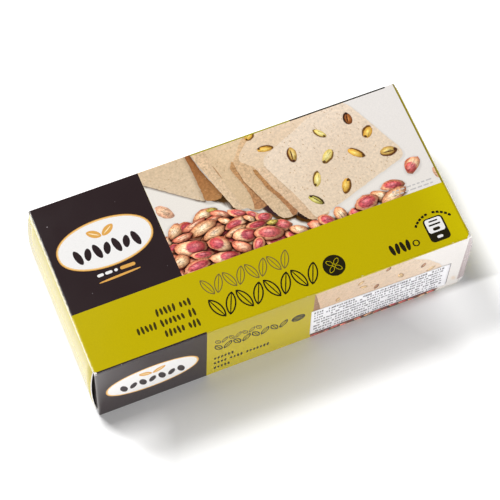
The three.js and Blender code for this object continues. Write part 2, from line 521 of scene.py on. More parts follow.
# %% Kernels and nuts
KERNELS = {  # the flesh from its middle to its edge, and then the skin
    "pale": [(252, 242, 184), (242, 224, 140), (222, 192, 98), (122, 90, 44)],
    "gold": [(252, 226, 136), (240, 194, 88), (206, 148, 60), (112, 74, 34)],
    "green": [(238, 232, 156), (214, 204, 112), (160, 146, 66), (72, 58, 30)],
    "olive": [(250, 230, 160), (226, 192, 108), (180, 134, 64), (98, 58, 34)],
    "brown": [(206, 136, 74), (168, 100, 50), (128, 74, 42), (62, 36, 22)],
    "faint": [(244, 220, 176), (234, 202, 150), (214, 176, 126), (176, 136, 98)],
    "dull": [(204, 158, 116), (180, 130, 92), (152, 106, 76), (118, 78, 56)],
}
SLIT_KINDS = ("green", "olive", "brown")
SHELL = [(255, 238, 208), (255, 224, 186), (246, 192, 148), (176, 92, 64)]
NUTS = {  # the shell from its middle to its edge
    "crimson": SHELL,
    "left": SHELL,
    "right": SHELL,
    "tan": [(254, 234, 202), (247, 212, 170), (234, 176, 130), (160, 86, 58)],
    "pink": [(253, 218, 186), (246, 190, 154), (228, 142, 110), (158, 70, 52)],
    "faint": [(246, 214, 182), (242, 200, 164), (232, 180, 146), (214, 164, 136)],
    "flesh": [(238, 228, 146), (220, 204, 104), (184, 160, 74), (128, 98, 52)],
}
# A blush's share of a nut's length and width, and the end that it lies towards
BLUSHES = {"crimson": (0.86, 0.84, 0.3), "left": (0.66, 0.9, -1), "right": (0.66, 0.9, 1)}
# What a blush, its shine and a plain nut's shine multiply red, green and blue by
BLUSH_TINTS = ((0.6, 0.15, 0.27), (0.48, 0.09, 0.18), (0.7, 0.22, 0.34))
BLUSH_SHINE, PLAIN_SHINE = (1.3, 2.3, 2.0), (1.1, 1.2, 1.4)
SEAMS = (0.5, 0.58, 0.66, 1.25, 1.4)  # how much darker or lighter a line along a nut is
WRINKLES = (0.54, 0.66, 0.78, 1.2, 1.4)
SKIN = 2.4  # grain of a nut's skin
NUT_LONG, NUT_WIDE = (8.2, 10.2), (4.6, 5.8)  # mm, in a heap


def paint_kernel(page, centre, long, wide, turn, kind):
    """A cut kernel: a faint hollow round it, the skin, the flesh and for some kinds a slit."""
    *flesh, skin = (ink(*tone) for tone in KERNELS[kind])
    pick = random.Random(round(centre[0] * 7))
    drop_shadow(page, almond(centre, long, wide, turn, 1.2, 16), (0, 0), 0.5, 0.16)
    paint_oval(page, centre, long, wide, turn, [skin, skin], point=1.2, grain=0.6, lit=0.2, uneven=0.05)
    side = beside(centre, turn, long * pick.choice((-0.05, 0.05)), wide * pick.choice((-0.13, 0.13)))
    paint_oval(page, side, long * 0.9, wide * 0.84, turn, flesh, point=1.1, grain=1.0, lit=0.5, uneven=0.07)
    if kind in SLIT_KINDS:
        page.paint(almond(centre, long * 0.66, wide * 0.15, turn + 4, 1.5, 10), skin)
    tip = beside(centre, turn, long * pick.choice((-0.38, 0.38)), wide * pick.uniform(-0.1, 0.1))
    page.paint(almond(tip, long * 0.17, wide * 0.34, turn + pick.uniform(-30, 30), 1.2, 9),
               mix(skin, DARK, 0.5))
    for _ in range(3):
        spot = beside(side, turn, pick.uniform(-0.25, 0.25) * long, pick.uniform(-0.2, 0.2) * wide)
        streak(page, spot, long * 0.3, wide * 0.12, turn + pick.uniform(-15, 15), pick.choice(WRINKLES))


def paint_nut(page, centre, long, wide, turn, kind, seed, within):
    """A whole nut: dark crevice, pale shell, crimson blush, and seams and wrinkles along it."""
    pick, strong = random.Random(seed), kind != "faint"
    bend = pick.uniform(-0.16, 0.16)
    drop_shadow(page, almond(centre, long, wide, turn, 1.2, 16), (-0.1, 0.3), 1.1,
                0.98 if strong else 0.2, within)
    paint_oval(page, centre, long, wide, turn, [ink(*tone) for tone in NUTS[kind]], point=1.25,
               grain=SKIN, lit=1.15 if strong else 0.4, uneven=0.06, bend=bend)
    if kind in BLUSHES:
        along, across, way = BLUSHES[kind]
        patch = beside(centre, turn, (1 - along) * long * 0.4 * way, wide * pick.uniform(-0.07, 0.0))
        soft_patch(page, patch, long * along, wide * across, turn + pick.uniform(-6, 6),
                   pick.choice(BLUSH_TINTS), 0.24)
        shine = beside(patch, turn, long * pick.uniform(-0.12, 0.08), -wide * 0.12)
        soft_patch(page, shine, long * along * 0.56, wide * 0.36, turn, BLUSH_SHINE, 0.9)
    elif strong:
        shine = beside(centre, turn, long * pick.uniform(-0.2, 0.1), -wide * 0.16)
        soft_patch(page, shine, long * 0.5, wide * 0.34, turn, PLAIN_SHINE, 0.9)
    for k in (-1, 0, 1):
        spot = beside(centre, turn, pick.uniform(-0.12, 0.12) * long,
                      (k * 0.24 + pick.uniform(-0.06, 0.06)) * wide)
        streak(page, spot, long * pick.uniform(0.4, 0.62), pick.uniform(0.2, 0.34),
               turn + k * 7 + pick.uniform(-4, 4), pick.choice(SEAMS), 0.92)
    for _ in range(9):
        spot = beside(centre, turn, pick.uniform(-0.34, 0.34) * long, pick.uniform(-0.34, 0.34) * wide)
        streak(page, spot, long * pick.uniform(0.1, 0.26), pick.uniform(0.3, 0.55),
               turn + pick.uniform(-36, 36), pick.choice(WRINKLES), 0.93)


def heap(page, seed, left, end, crest, floor, kinds, row, pitch=7.0, size=1.0, within=None):
    """Rows of nuts from the crest of a heap down to its floor, the lower ones in front."""
    pick = random.Random(seed)
    v, odd = min(crest(left + (end - left) * i / 20) for i in range(21)), 0
    while v < floor + row * 0.8:
        u = left - pitch / 2 * odd
        while u < end + pitch / 2:
            if v >= crest(u):
                paint_nut(page, (u + pick.uniform(-1.3, 1.3), v + pick.uniform(-1, 1)),
                          size * pick.uniform(*NUT_LONG), size * pick.uniform(*NUT_WIDE),
                          pick.choice((pick.uniform(-34, 10), pick.uniform(-14, 40))), pick.choice(kinds),
                          pick.randint(0, 9999), within)
            u += pitch
        v, odd = v + row, 1 - odd


def rows_of(text):
    """Places, lengths, widths, turns and kinds, from a text with a comma between its rows."""
    for row in text.split(","):
        *numbers, kind = row.split()
        u, v, long, wide, turn = (float(n) for n in numbers)
        yield (u, v), long, wide, turn, kind


print("kinds of nut:", ", ".join(NUTS), "and kinds of kernel:", ", ".join(KERNELS))

# %% [markdown]
# ## The picture on the top
# The picture's ground is a pale grey that warms gently towards its lower left. Slabs are painted on
# it from the back to the front, and the gaps between them in the same way, in darker tones. Each
# stroke of the table has a kind, an outline as a text of u,v pairs, and what its painter wants to
# know. We paint on a page of the picture's own size, which clips whatever runs past its foot.

# %% Paint the slabs of the picture
PICTURE_LEFT, BAND_TOP, PICTURE_RIGHT = 43.8, 46.2, 149.25
CRACK_DARK, HOLE_DARK = ink(62, 40, 42), ink(46, 28, 22)
PALE_WARM, PALE, PALE_FALL = ink(233, 227, 219), ink(234, 229, 225), 90
UNDER = ((-0.3, 0.6), 1.4, 0.34)  # a shadow's shift, reach and depth


def paint_picture(page, low, high, floor):
    """The pale ground of a picture, from u=low to u=high and down to v=floor."""
    grid = [(low + (high - low) * i / 12, floor * j / 6) for i in range(1, 12) for j in range(1, 6)]
    page.paint(rect(low, 0, high, floor),
               lambda u, v: mix(PALE_WARM, PALE, ease((u - low) / (high - low) - v / PALE_FALL)),
               seeds=grid)


PAINTERS = {
    "slab": paint_slab,
    "dark": drop_shadow,
    "fill": Page.paint,
    "tint": lambda page, spot, *how: soft_patch(page, spot[0], *how),
    "line": lambda page, spot, long, wide, turn, point, *fill: page.paint(
        almond(spot[0], long, wide, turn, point), *fill),
}
LEFT_GAP = (
    "78.6,8.8 80,10 81,18 83.6,25 85.2,31 82.6,31.4 80.4,31.4 79,30.6 79.5,28.8 79.8,25.6 "
    "79.4,21.2 78.4,17.4 77.3,14 76.9,11.4")
MIDDLE_GAP = (
    "84.7,15.2 85.8,15.2 86.9,18.9 87.6,21.2 88.3,23.7 89.1,25.8 90.3,28 91.2,30.6 92.1,32.7 "
    "92.9,35.3 93.9,37.3 92.6,38.6 91.3,38.5 91.1,35.8 90.5,33.6 89.8,31.5 88.8,28.9 87.7,26.6 "
    "86.7,24.4 86.1,21.9 85.5,19.4 84.8,17")
STROKES = (
    ("slab", "40,-6 63.8,-6 63.6,12 63.2,20.8 60.6,19.3 40,2.9",
     0.6, [(214, 188, 154), (217, 195, 166)], CRUMB, 41, ((-0.1, 0.3), 0.8, 0.8)),
    ("dark", "65.6,21.6 70.6,20 73.2,28.2 71.9,28 68.8,23.4", (0, 0), 1.2, 0.95),
    ("slab", "62.7,-3 64.3,-3 66.2,8 70.2,20.9 69,21.9 66.4,21.9 63.2,20.8 63.2,10",
     0.8, [(148, 88, 46), (176, 126, 78)], SIDE_CRUMB, 42, UNDER),
    ("slab", "64.2,-4 90,-4 86,28 76,29.4 73.4,28.9 71.9,27.2 69.9,19.6 66.4,7",
     1.0, [(221, 190, 154), (222, 196, 163)], SIDE_CRUMB, 43, UNDER),
    ("dark", "77,29.4 85,29.4 84.6,31.2 80.8,32.1 78.4,31.4", (0, 0), 0.9, 0.6),
    ("slab", "70.4,-4 92,-4 85.6,30.4 83.4,31.4 80.8,31.9 78.6,31.2 76.8,29.4 75.2,28.1 73.2,18 71.2,8",
     1.2, [(222, 194, 158), (211, 184, 148)], CRUMB, 44, ((-0.1, 0.1), 0.8, 0.1)),
    ("line", "71.9,11.2", 7, 0.42, 78, 1.4, mix(PIT, GAP, 0.4), CRUMB),
    ("dark", LEFT_GAP, (-0.2, 0), 1.0, 0.12),
    ("slab", LEFT_GAP, 0.5, [(198, 152, 104), (178, 128, 88)], STRIP_CRUMB, 45),
    ("dark", "82.4,32 84.8,31.2 86.6,35.2 92.6,38.6 92,39.4 88,39.6 85.2,37.4 83.4,34",
     (0, 0), 1.0, 0.95),
    ("fill", "82.3,31.9 84.4,31 85.4,33.4 86.4,36.2 85.8,36.9 84.2,34.8", CRACK_DARK, CRUMB),
    ("dark", "79.3,12.6 80,18.8 82.3,25.5 84.4,31 86,30 84,24 82,18 80.4,12.6", (-0.1, 0.1), 0.7, 0.45),
    ("slab", "78.9,9.6 84,3 92,-5 104,-5 110,20 95,36.9 93,38.5 90.4,39 87.4,38.1 85.7,35.4 84.4,31.3 "
     "82.3,25.5 79.9,18.8 79.1,13.2", 1.2, [(217, 178, 134), (213, 187, 154)], SIDE_CRUMB, 46),
    ("tint", "81,3.5", 24, 17, 0, (1.07, 1.09, 1.12), 0.8),
    ("dark", "91.6,39.4 94.2,38.2 99,43 97.2,44.2 93.6,41.8", (0, 0), 1.3, 0.97),
    ("fill", "93,39.2 93.9,37.8 95.2,39.8 96.4,42 95.4,42 93.9,40.6", HOLE_DARK, CRUMB),
    ("slab", "85.6,15.6 86,13 92,9 106,38 104.4,43 99.6,43.2 97.4,42.8 95.8,41.3 94.7,39.4 93.6,37.3 "
     "91.6,31.6 88.4,24", 0.9, [(228, 200, 168), (216, 184, 150)], SIDE_CRUMB, 48),
    ("dark", MIDDLE_GAP, (-0.2, 0), 0.8, 0.12),
    ("slab", MIDDLE_GAP, 0.3, [(182, 134, 84), (172, 122, 86)], STRIP_CRUMB, 47),
    ("slab", "80.6,9.2 85.6,4 98,-5 132,-5 120,9 92,15.5 87,15.5",
     2.5, [(237, 213, 187), (225, 200, 168)], CRUMB, 49),
    ("slab", "88.4,12.6 122.6,-2.2 129.4,1.2 142.2,30.2 104,42.2 99.8,43 98.6,41 97.6,36.8 95.9,31.6 "
     "93,24.6", 4.4, FACE, CRUMB, 50, ((0.3, 0.7), 0.7, 0.12)),
    ("tint", "117,20", 46, 26, -30, (0.975, 0.962, 0.95), 0.7),
)
picture = Page("picture", LENGTH, BAND_TOP, top.place, GROUND)
paint_picture(picture, PICTURE_LEFT, PICTURE_RIGHT, BAND_TOP)
for kind, outline, *how in STROKES:
    PAINTERS[kind](picture, path(outline), *how)
print("strokes:", len(STROKES))

# %% [markdown]
# The kernels lie on the slabs, and the heap of nuts lies before them, on a dark mound that shows
# between the nuts. Each row of a table is a place, a length, a width, a turn and a kind. A few loose
# rows of random nuts fill the heap first, and the nuts of the table lie on top of them.

# %% Paint the kernels and the heap of nuts
KINDS = ["crimson", "crimson", "left", "right", "tan", "pink"]
MOUND = ink(78, 40, 30)
FIRST_NUT = 100  # seed of the first nut in the table
KERNEL_ROWS = """
    126.9 7.8 5.4 3.4 -82 brown, 114.3 9.9 5.8 2.5 52 pale, 131.7 15.8 5.8 3.7 -46 gold,
    113.5 20.4 6.8 3.6 -38 pale, 100.9 14.7 6.8 3.6 -84 olive, 124.3 22.8 7.2 3.1 47 gold,
    136 26.8 6.8 4 3 olive, 105.7 27.5 6.8 3 -64 pale, 115.2 34.5 6.8 3.4 -58 gold,
    102.3 35.7 6.6 2.7 50 green, 92.6 8.3 6.4 2.7 12 gold, 89.1 1.3 4.4 2.9 -32 gold
"""
NUT_ROWS = """
    60.6 25.9 9.8 4.2 -8 tan, 64 25.2 4.6 2.2 12 flesh, 66.4 28 8.4 3 30 pink,
    72.6 30 8.6 3.4 28 crimson, 55.4 28.6 10.4 3 -12 pink, 47.8 28.4 7 5.2 -46 tan,
    77.8 32.8 6 2.8 42 left, 62.6 29.2 8 2.8 -4 pink, 58 31 11.6 5 -12 tan, 67.2 31.6 6.6 2.6 40 tan,
    49.6 31.9 8.2 3 -4 pink, 45 34.6 5 3.6 -10 crimson, 61.4 34.4 10 4.2 -14 tan, 71 33.6 10.8 4 -8 left,
    76.2 34 6.4 2.4 44 tan, 81 35.2 6.6 4.4 16 crimson, 51 37 12.8 6.6 12 right,
    69.6 36.8 9.8 3.6 -8 tan, 77.4 37.2 8.8 3.4 8 crimson, 86.4 40.6 7.4 5 30 crimson,
    83.2 38.2 4.6 2.2 6 flesh, 61.4 39.6 9.6 6 38 left, 71.6 39.4 9.6 5.6 16 right,
    45.6 40.8 6.4 5.4 -16 tan, 54 41.2 9 3.4 14 crimson, 69 43.4 8.6 4.4 40 pink,
    80.4 41.8 11.4 6 18 crimson, 50.6 44.8 11.4 4.6 -6 crimson, 61.4 45 12 4.8 12 right,
    75 44.8 6.6 4.4 -50 crimson, 91.4 44.8 7.6 3.8 30 tan, 98 45.4 6.8 4.2 28 pink,
    102.4 45 7 4.6 36 crimson, 108.3 44.4 6.6 4.8 78 tan, 113.8 45.9 5.6 4 4 crimson,
    125.6 43.2 8.4 4.8 34 tan, 119.4 43.6 9.8 6.4 -6 crimson, 131.4 40.6 9.8 4.2 8 crimson,
    130.2 44.6 12 4.8 -16 tan, 142 35.4 8.2 5.4 -42 left, 47.2 19.4 8 4.6 50 faint,
    149.2 41.6 5 2.4 84 faint
"""


for row in rows_of(KERNEL_ROWS):
    paint_kernel(picture, *row)
picture.paint(crumbled(path(
    "40,34 46.5,28 53,30 58,26.5 64,27 70,30 74,29.6 80,34.5 84,38.5 87.5,43 92,46 92,50 40,50"),
    0.4, 51), MOUND, SKIN)
in_heap = gap_to(path(
    "40,34 46.5,29.5 53,31 58,27.5 64,28 70,31 74,31 80,35.5 84,39.5 87.5,43.6 92,45.8 97,45.4 112,45.6 "
    "118,43 128,42.8 133,43.6 136,46.2 136,50 40,50"))
heap(picture, 3, 45, 94, lambda u: 31.5 if u < 52 else 28.8 + max(0, u - 62) * 0.62,
     BAND_TOP, KINDS, row=3.6, within=in_heap)
for k, row in enumerate(rows_of(NUT_ROWS)):
    paint_nut(picture, *row, FIRST_NUT + k, in_heap)

for outline, fill, grain, shade in picture.shapes[1:]:
    top.paint(outline, fill, grain, shade=shade)
top.seeds += picture.seeds
print("the picture has", len(picture.shapes), "shapes and", len(top.seeds), "loose points")

# %% [markdown]
# ## Badge, rows and bars
# The dark field carries a badge: an oval white plate with a gold edge, a pair of gold leaves and a
# row of dark seeds. Where a pack would have words, this one has ornament of the same size: borders
# of leaves for its two titles, and rows of seeds for its lines of text. An outline is two shapes, the
# outer one in ink and the inner one in the colour behind it.

# %% Ornament in place of words
INK_BLACK, INK_BROWN, INK_OLIVE = ink(34, 29, 12), ink(118, 102, 52), ink(64, 56, 14)
BADGE_RIMS = ((1.5, GOLD), (0.7, ink(246, 214, 150)), (0.25, GOLD), (0, WHITE))  # mm past the white oval
LEAF_LEAN, SEED_LEAN, TITLE_LEAN = 32, 14, 24  # degrees
BADGE_SEEDS, SEED_PITCH = 7, 3.8
LEAF_RIB = ink(250, 232, 190)


def outlined(page, centre, long, wide, turn, stroke, colour, behind, point):
    """An almond drawn as a line."""
    page.paint(almond(centre, long, wide, turn, point), colour)
    page.paint(almond(centre, long - stroke * 2.8, wide - stroke * 2, turn, point), behind)


def title_row(page, start, end, v_top, v_foot, stroke, colour, count):
    """A border of pointed leaves that lean to and fro, each an outline with a rib along it."""
    pitch, middle, tall = (end - start) / count, (v_top + v_foot) / 2, v_foot - v_top
    for i in range(count):
        centre, lean = (start + pitch * (i + 0.5), middle), 90 + (TITLE_LEAN if i % 2 else -TITLE_LEAN)
        outlined(page, centre, tall * 1.08, pitch * 0.74, lean, stroke, colour, GREEN, 1.5)
        page.paint(almond(centre, tall, stroke * 0.8, lean, 0.5, 12), colour)


def bead_line(page, start, end, middle, tall, colour, seed):
    """A line of small upright seeds in groups, as long and as tall as a line of small text."""
    pick, step, u = random.Random(seed), tall * 0.56, start
    while u < end:
        room = int((end - u) / step) + 1
        for _ in range(room if room < 9 else pick.randint(4, 6)):
            high = tall * pick.choice((0.85, 1, 1.15))
            page.paint(almond((u, middle), high, tall * 0.36, 90 + pick.uniform(-9, 9), 0.8, 12), colour)
            u += step
        u += tall * 0.4


def bar(page, start, end, middle, tall, colour):
    """A plain bar with round ends."""
    page.paint(plate(((start + end) / 2, middle), end - start, tall, tall / 2 * 0.98, steps=2), colour)


def fine_print(page, start, end, middle, tall, colour, seed):
    """A line of fine print: short bars with gaps between them."""
    pick, u = random.Random(seed), start
    while u < end - tall:
        stop = min(u + pick.uniform(2, 5) * tall, end)
        bar(page, u, stop, middle, tall, colour)
        u = stop + tall * 0.9


def badge(page, centre, wide, high):
    """The oval badge on a dark field."""
    for grow, colour in BADGE_RIMS:
        page.paint(almond(centre, wide + grow, high + grow, 0, 0.9, 48), colour)
    for side in (-1, 1):
        place = (centre[0] + side * 2.7, centre[1] - high * 0.25)
        page.paint(almond(place, 6.0, 3.0, side * -LEAF_LEAN, 1.3), GOLD)
        page.paint(almond(place, 4.2, 0.4, side * -LEAF_LEAN, 1.3), LEAF_RIB)
    for i in range(BADGE_SEEDS):
        tall, lean = (5.2, SEED_LEAN) if i % 2 else (6.6, -SEED_LEAN)
        place = (centre[0] + (i - BADGE_SEEDS // 2) * SEED_PITCH, centre[1] + high * 0.13)
        page.paint(almond(place, tall, 2.7, 90 + lean, 1.15), DARK)


def seed_disc(page, centre, radius):
    """A dark disc with a flower of four petals."""
    page.paint(almond(centre, 2 * radius, 2 * radius, steps=40), INK_BLACK)
    for turn in (45, 135, 225, 315):
        petal = beside(centre, turn, radius * 0.43, 0)
        outlined(page, petal, radius * 0.72, radius * 0.4, turn, radius * 0.045, GREEN, INK_BLACK, 1.2)


print("seeds on the badge:", BADGE_SEEDS)

# %% [markdown]
# ## The top panel
# The top is the widest and brightest panel: dark field at the left, the picture beside it, and a
# yellow-green band along the front that carries the titles.

# %% Paint the top
FIELD_END = 43.75
LINE_START, LINE_TURN, LINE_STOP = 65, 106, 146  # the line along the back crease, green and then black
CRACK = ink(240, 234, 206)  # the board's white through what is left of the green
BAND_PAINTED_LIGHT = (1.14, 1.18, 1)  # painted light: what the green at the band's right is multiplied by, where the light is strongest


def cracked(outline, amount, seed):
    """A strip along a crease, with points along it pushed in or out like flaked print."""
    return [(max(0, u), max(0, v)) for u, v in crumbled(outline, amount, seed, 0.8)]


top.paint(rect(0, 0, FIELD_END, BAND_TOP), DARK)
badge(top, (22.1, 22.9), 36.0, 18.6)
for start, stop in ((14.6, 17.2), (17.7, 20.6), (21.3, 22.7)):
    bar(top, start, stop, 34.9, 1.2, WHITE)
bar(top, 23.6, 29.6, 34.9, 1.4, GOLD)
top.paint(almond((22.6, 37.5), 16.6, 0.9, -2, 0.8), GOLD)

top.paint(rect(LINE_START, 0, LINE_TURN, 0.8), mix(GREEN, ink(70, 110, 30), 0.4))
top.paint(rect(LINE_TURN, 0, LINE_STOP, 0.85), INK_BLACK)
# painted shade: the green darkened to olive on the round of the right crease beside the picture, which
# turns away from the light
top.paint(rect(PICTURE_RIGHT, 0, LENGTH, BAND_TOP), mix(GREEN, DARK, 0.5))
top.paint(rect(0, WIDTH - 0.75, FIELD_END, WIDTH), DARK)
top.shade([(136, BAND_TOP), (PICTURE_RIGHT, BAND_TOP), (PICTURE_RIGHT, WIDTH), (132, WIDTH)],
          lambda u, v: tuple(mix(1, n, ease((u - 134) / 15)) for n in BAND_PAINTED_LIGHT),
          seeds=[(u, v) for u in (138, 142, 146) for v in (50, 56, 62, 68)])
top.paint(cracked(rect(0, 0, 0.26, BAND_TOP), 0.12, 90), CRACK)
top.paint(cracked(rect(0, BAND_TOP, 0.26, WIDTH), 0.14, 91), ink(236, 226, 120))

title_row(top, 48.4, 83.8, 50.3, 57.6, 0.42, INK_BROWN, 8)
title_row(top, 48.2, 91.8, 58.7, 67.3, 0.6, INK_BLACK, 8)
seed_disc(top, (97.6, 63.0), 4.3)
for k, (start, middle) in enumerate(((29.7, 56.7), (20.7, 61.2), (30.0, 65.6))):
    bead_line(top, start, 43.6, middle, 2.9, INK_OLIVE, 11 + k)
for i in range(4):
    top.paint(almond((120.2 + 2.15 * i, 65.5), 4.6, 1.7, 90 + (8 if i % 2 else -8), 0.9, 16), INK_BLACK)
outlined(top, (129.8, 65.9), 2.9, 2.7, 0, 0.42, INK_BLACK, GREEN, 1.0)

top.paint(plate((139.4, 63.3), 8.1, 10.2, 1.6), INK_BLACK)
top.paint(plate((139.4, 61.6), 6.7, 5.8, 1.0), WHITE)
for start, end, middle, tall, colour in (
        (137.6, 141.2, 59.8, 0.6, INK_BLACK), (137.0, 141.8, 61.3, 0.7, INK_BLACK),
        (137.9, 140.9, 63.2, 1.3, INK_BLACK), (138.2, 140.6, 66.6, 1.1, WHITE)):
    bar(top, start, end, middle, tall, colour)
for turn in range(-50, 60, 10):  # an arc of short marks over the plate, with a gap in its middle
    if turn:
        top.paint(plate(turned([(0, -9.0)], (139.4, 65.4), turn)[0], 1.2, 0.95, 0.25, turn), INK_BLACK)
for k, v in enumerate((43.3, 44.9)):
    fine_print(top, 130 + k, 147, v, 0.55, ink(196, 192, 190), 31 + k)
print("the top has", len(top.shapes), "shapes")

# %% [markdown]
# ## Front, back, base and ends
# The front repeats the top's three fields in a single row: dark, green, picture. The slip covers the
# lower part of the picture. The light falls off along the carton and down its front, and a few shades
# and a gradient of ink help it. They are painted light and shade: the green is darker at the top and
# lighter at the foot, the slab's left and the turn of the bulging right end are darker, and a dark
# line along the slip's right edge is the slip's painted shadow. The dust flaps under the outer flaps
# carry on the dark field at the left end, and the pale ground at the right end.

# %% Paint the front
GREEN_END = 86.75
GREEN_PAINTED_SHADE_TOP = mix(GREEN, ink(120, 104, 90), 0.21)  # painted shade: the green of a long side is darker towards the top
# painted light: the green of a long side is brighter towards its foot
GREEN_PAINTED_LIGHT_FOOT = tuple(n * 1.15 for n in GREEN)
FRONT_FACE, FRONT_SIDE = [(226, 206, 182), (230, 204, 178)], [(190, 158, 130), (152, 114, 88)]
BROWNER, BROWN_START, BROWN_REACH = (0.88, 0.79, 0.7), 86, 46  # the slab's left, further from the light
END_SHADE = (0.62, 0.53, 0.55)  # painted shade: the pale ground is greyer on the turn of the bulging end, which lies in shade
SMEAR = (0.97, 0.9, 0.83)


def paint_row(page):
    """The dark and the green field of a long side, with the badge and the rows on them."""
    page.paint(rect(0, 0, FIELD_END, HEIGHT), DARK)
    # the green runs from painted shade at its top to painted light at its foot
    page.paint(rect(FIELD_END, 0, GREEN_END, HEIGHT), lambda u, v: mix(GREEN_PAINTED_SHADE_TOP, GREEN_PAINTED_LIGHT_FOOT, v / HEIGHT),
               seeds=[(u, v) for u in (54, 65, 76) for v in (10, 20, 30)])
    badge(page, (22.0, 21.4), 35.5, 18.4)
    title_row(page, 46.8, 65.9, 9.7, 14.1, 0.4, ink(84, 74, 34), 7)
    title_row(page, 46.6, 76.6, 14.4, 20.4, 0.56, INK_BLACK, 8)
    seed_disc(page, (80.75, 17.3), 2.8)
    for k, (length, middle) in enumerate(((8.5, 27.2), (22.7, 31.8), (7.2, 36.4))):
        bead_line(page, 47.2, 46.8 + length, middle, 2.5, INK_BLACK, 21 + k)


paint_picture(front, GREEN_END, LENGTH, HEIGHT)
paint_slab(front, path("86,-4 88.6,5 91,20 86,20"), 0.3, FRONT_SIDE, SIDE_CRUMB, 60)
paint_slab(front, path("86.2,-4 123.4,-4 126.4,1.6 132.4,6 139.8,16.4 141,24 91,24"), 3.0,
           FRONT_FACE, CRUMB, 61, ((0, 0.3), 0.8, 0.2))
for row in rows_of("""
    105.6 6 3.4 1.7 -52 faint, 107 10.6 3.6 1.8 24 faint, 112.6 14.6 3.8 1.9 -76 dull,
    116.6 2.4 3.2 1.6 -70 dull, 122.6 12.8 4.4 2.2 66 faint, 131.7 11 3.6 1.8 -70 dull,
    135.4 16.8 4.2 2.1 -34 faint, 96.6 13.6 3.4 1.7 -86 faint
"""):
    paint_kernel(front, *row)
front.shade(rect(86, 0, 132, 24),
            lambda u, v: tuple(mix(n, 1, (u - BROWN_START) / BROWN_REACH) for n in BROWNER),
            seeds=[(u, v) for u in (98, 110, 122) for v in (8, 16)])
front.paint(crumbled(path("86.75,38 138.6,38 141.2,39.8 137,43 86.75,43"), 0.3, 62),
            ink(112, 60, 52), SKIN)
heap(front, 5, 88.5, 137, lambda u: 40.3, HEIGHT, ["crimson", "crimson", "tan"], 2.4, 4.6, 0.46)
# painted shadow: a dark line on the panel along the slip's lifted right edge
front.paint(rect(143.8, 19.2, 144.4, 38), ink(112, 102, 106))
for long, wide in ((7.6, 3.8), (5.6, 2.2)):
    soft_patch(front, (147.1, 34.8), long, wide, 68, SMEAR, 0.8)
paint_row(front)
front.paint([(GREEN_END, 0), (148.6, 0), (148.6, 0.85), (GREEN_END, 0.95)], GREEN)
# painted shade on the turn of the bulging right end, on the front and on the end
for page, turned_edge in ((front, "149.6,1.5 150,1.5 150,37.6 148.9,37.6 149.1,26"),
                          (right_end, "0,1.5 1.5,4 2.4,37 0,38")):
    page.shade(path(turned_edge), lambda u, v: END_SHADE)
print("the front has", len(front.shapes), "shapes")

# %% [markdown]
# The back has the same row without a slip, read from its own side, with a simpler picture of one
# slab on a heap of nuts. The base is green with a pale panel for fine print.

# %% Paint the back and the base
def scatter_kernels(page, seed, columns, rows, step, middle, turn, long, wide):
    """Kernels in loose rows over a slab, each with its own size, turn and tone."""
    pick = random.Random(seed)
    for row in range(rows):
        for column in range(columns):
            p = (column - (columns - 1) / 2 + (0.22 if row % 2 else -0.22)) * step[0]
            q = (row - (rows - 1) / 2) * step[1]
            place = beside(middle, turn, p + pick.uniform(-0.17, 0.17) * step[0],
                           q + pick.uniform(-0.2, 0.2) * step[1])
            size = pick.uniform(0.88, 1.12)
            paint_kernel(page, place, long * size, wide * size * pick.uniform(0.9, 1.1),
                         pick.uniform(-85, 85), pick.choice(("pale", "gold", "gold", "green", "brown")))


paint_picture(rear, GREEN_END, LENGTH, HEIGHT)
paint_slab(rear, path("93.4,9.4 97,6 100,34 96.4,33.6"), 1.2, SIDE, SIDE_CRUMB, 64, UNDER)
paint_slab(rear, path("96,8 139.6,3.4 142.8,30.4 99,35.4"), 3.6, FACE, CRUMB, 65, UNDER)
scatter_kernels(rear, 15, 4, 3, (10.4, 8.8), (119.4, 19.4), -7, 4.6, 2.3)
heap(rear, 6, 90, 150, lambda u: 37.6 if u > 98 else 35, HEIGHT, KINDS, 3.0, 6.0, 0.8,
     gap_to(path("86,37 97,36 100,38.4 150,38.8 150,44 86,44")))
paint_row(rear)
rear.paint(rect(4, 0, 44, 0.6), INK_BLACK)

base.paint(rect(0, 0, FIELD_END, WIDTH), DARK)
base.paint(plate((96.8, 35.5), 92, 56, 2), ink(238, 236, 230))
for k in range(16):
    start, end = 55.2 if k % 3 == 0 else 54, 96 if k % 4 == 3 else 138
    fine_print(base, start, end, 12.5 + 3.05 * k, 0.8, ink(70, 62, 30), 50 + k)
print("shapes on all pages:", sum(len(page.shapes) for page in pages))

# %% [markdown]
# ## Scuffs
# Board is white under its print. Where the carton has been knocked, at the two top corners of the
# front, the print has flaked off and bare board shows. A few small specks on the dark field are
# scuffs of the same kind. A chip has a ragged outline and runs over the corner on all its panels.

# %% Paint the chips and specks
def ragged(centre, size, seed, steps=16):
    """A rough round outline."""
    pick = random.Random(seed)
    return [(centre[0] + size * pick.uniform(0.6, 1.2) * math.cos(2 * math.pi * i / steps),
             centre[1] + size * pick.uniform(0.6, 1.2) * math.sin(2 * math.pi * i / steps))
            for i in range(steps)]


CHIPS = ((top, (0, WIDTH), 1.1), (front, (0, 0), 0.8), (left_end, (WIDTH, 0), 1.4),
         (top, (LENGTH, WIDTH), 1.1), (front, (LENGTH, 0), 1.3), (right_end, (0, 0), 1.3))
SPECKS = (((4.4, 9.0), 0.26), ((10.6, 40.6), 0.17), ((31.5, 8.4), 0.12), ((40.2, 40.4), 0.12))
SPECK_GREY = ink(140, 132, 135)
for page, corner, size in CHIPS:
    page.paint(ragged(corner, size, 70 + round(size * 10)), BARE_BOARD, 0.4)
for k, (place, size) in enumerate(SPECKS):
    top.paint(ragged(place, size, 80 + k, 8), SPECK_GREY)
print(len(CHIPS), "chips and", len(SPECKS), "specks")

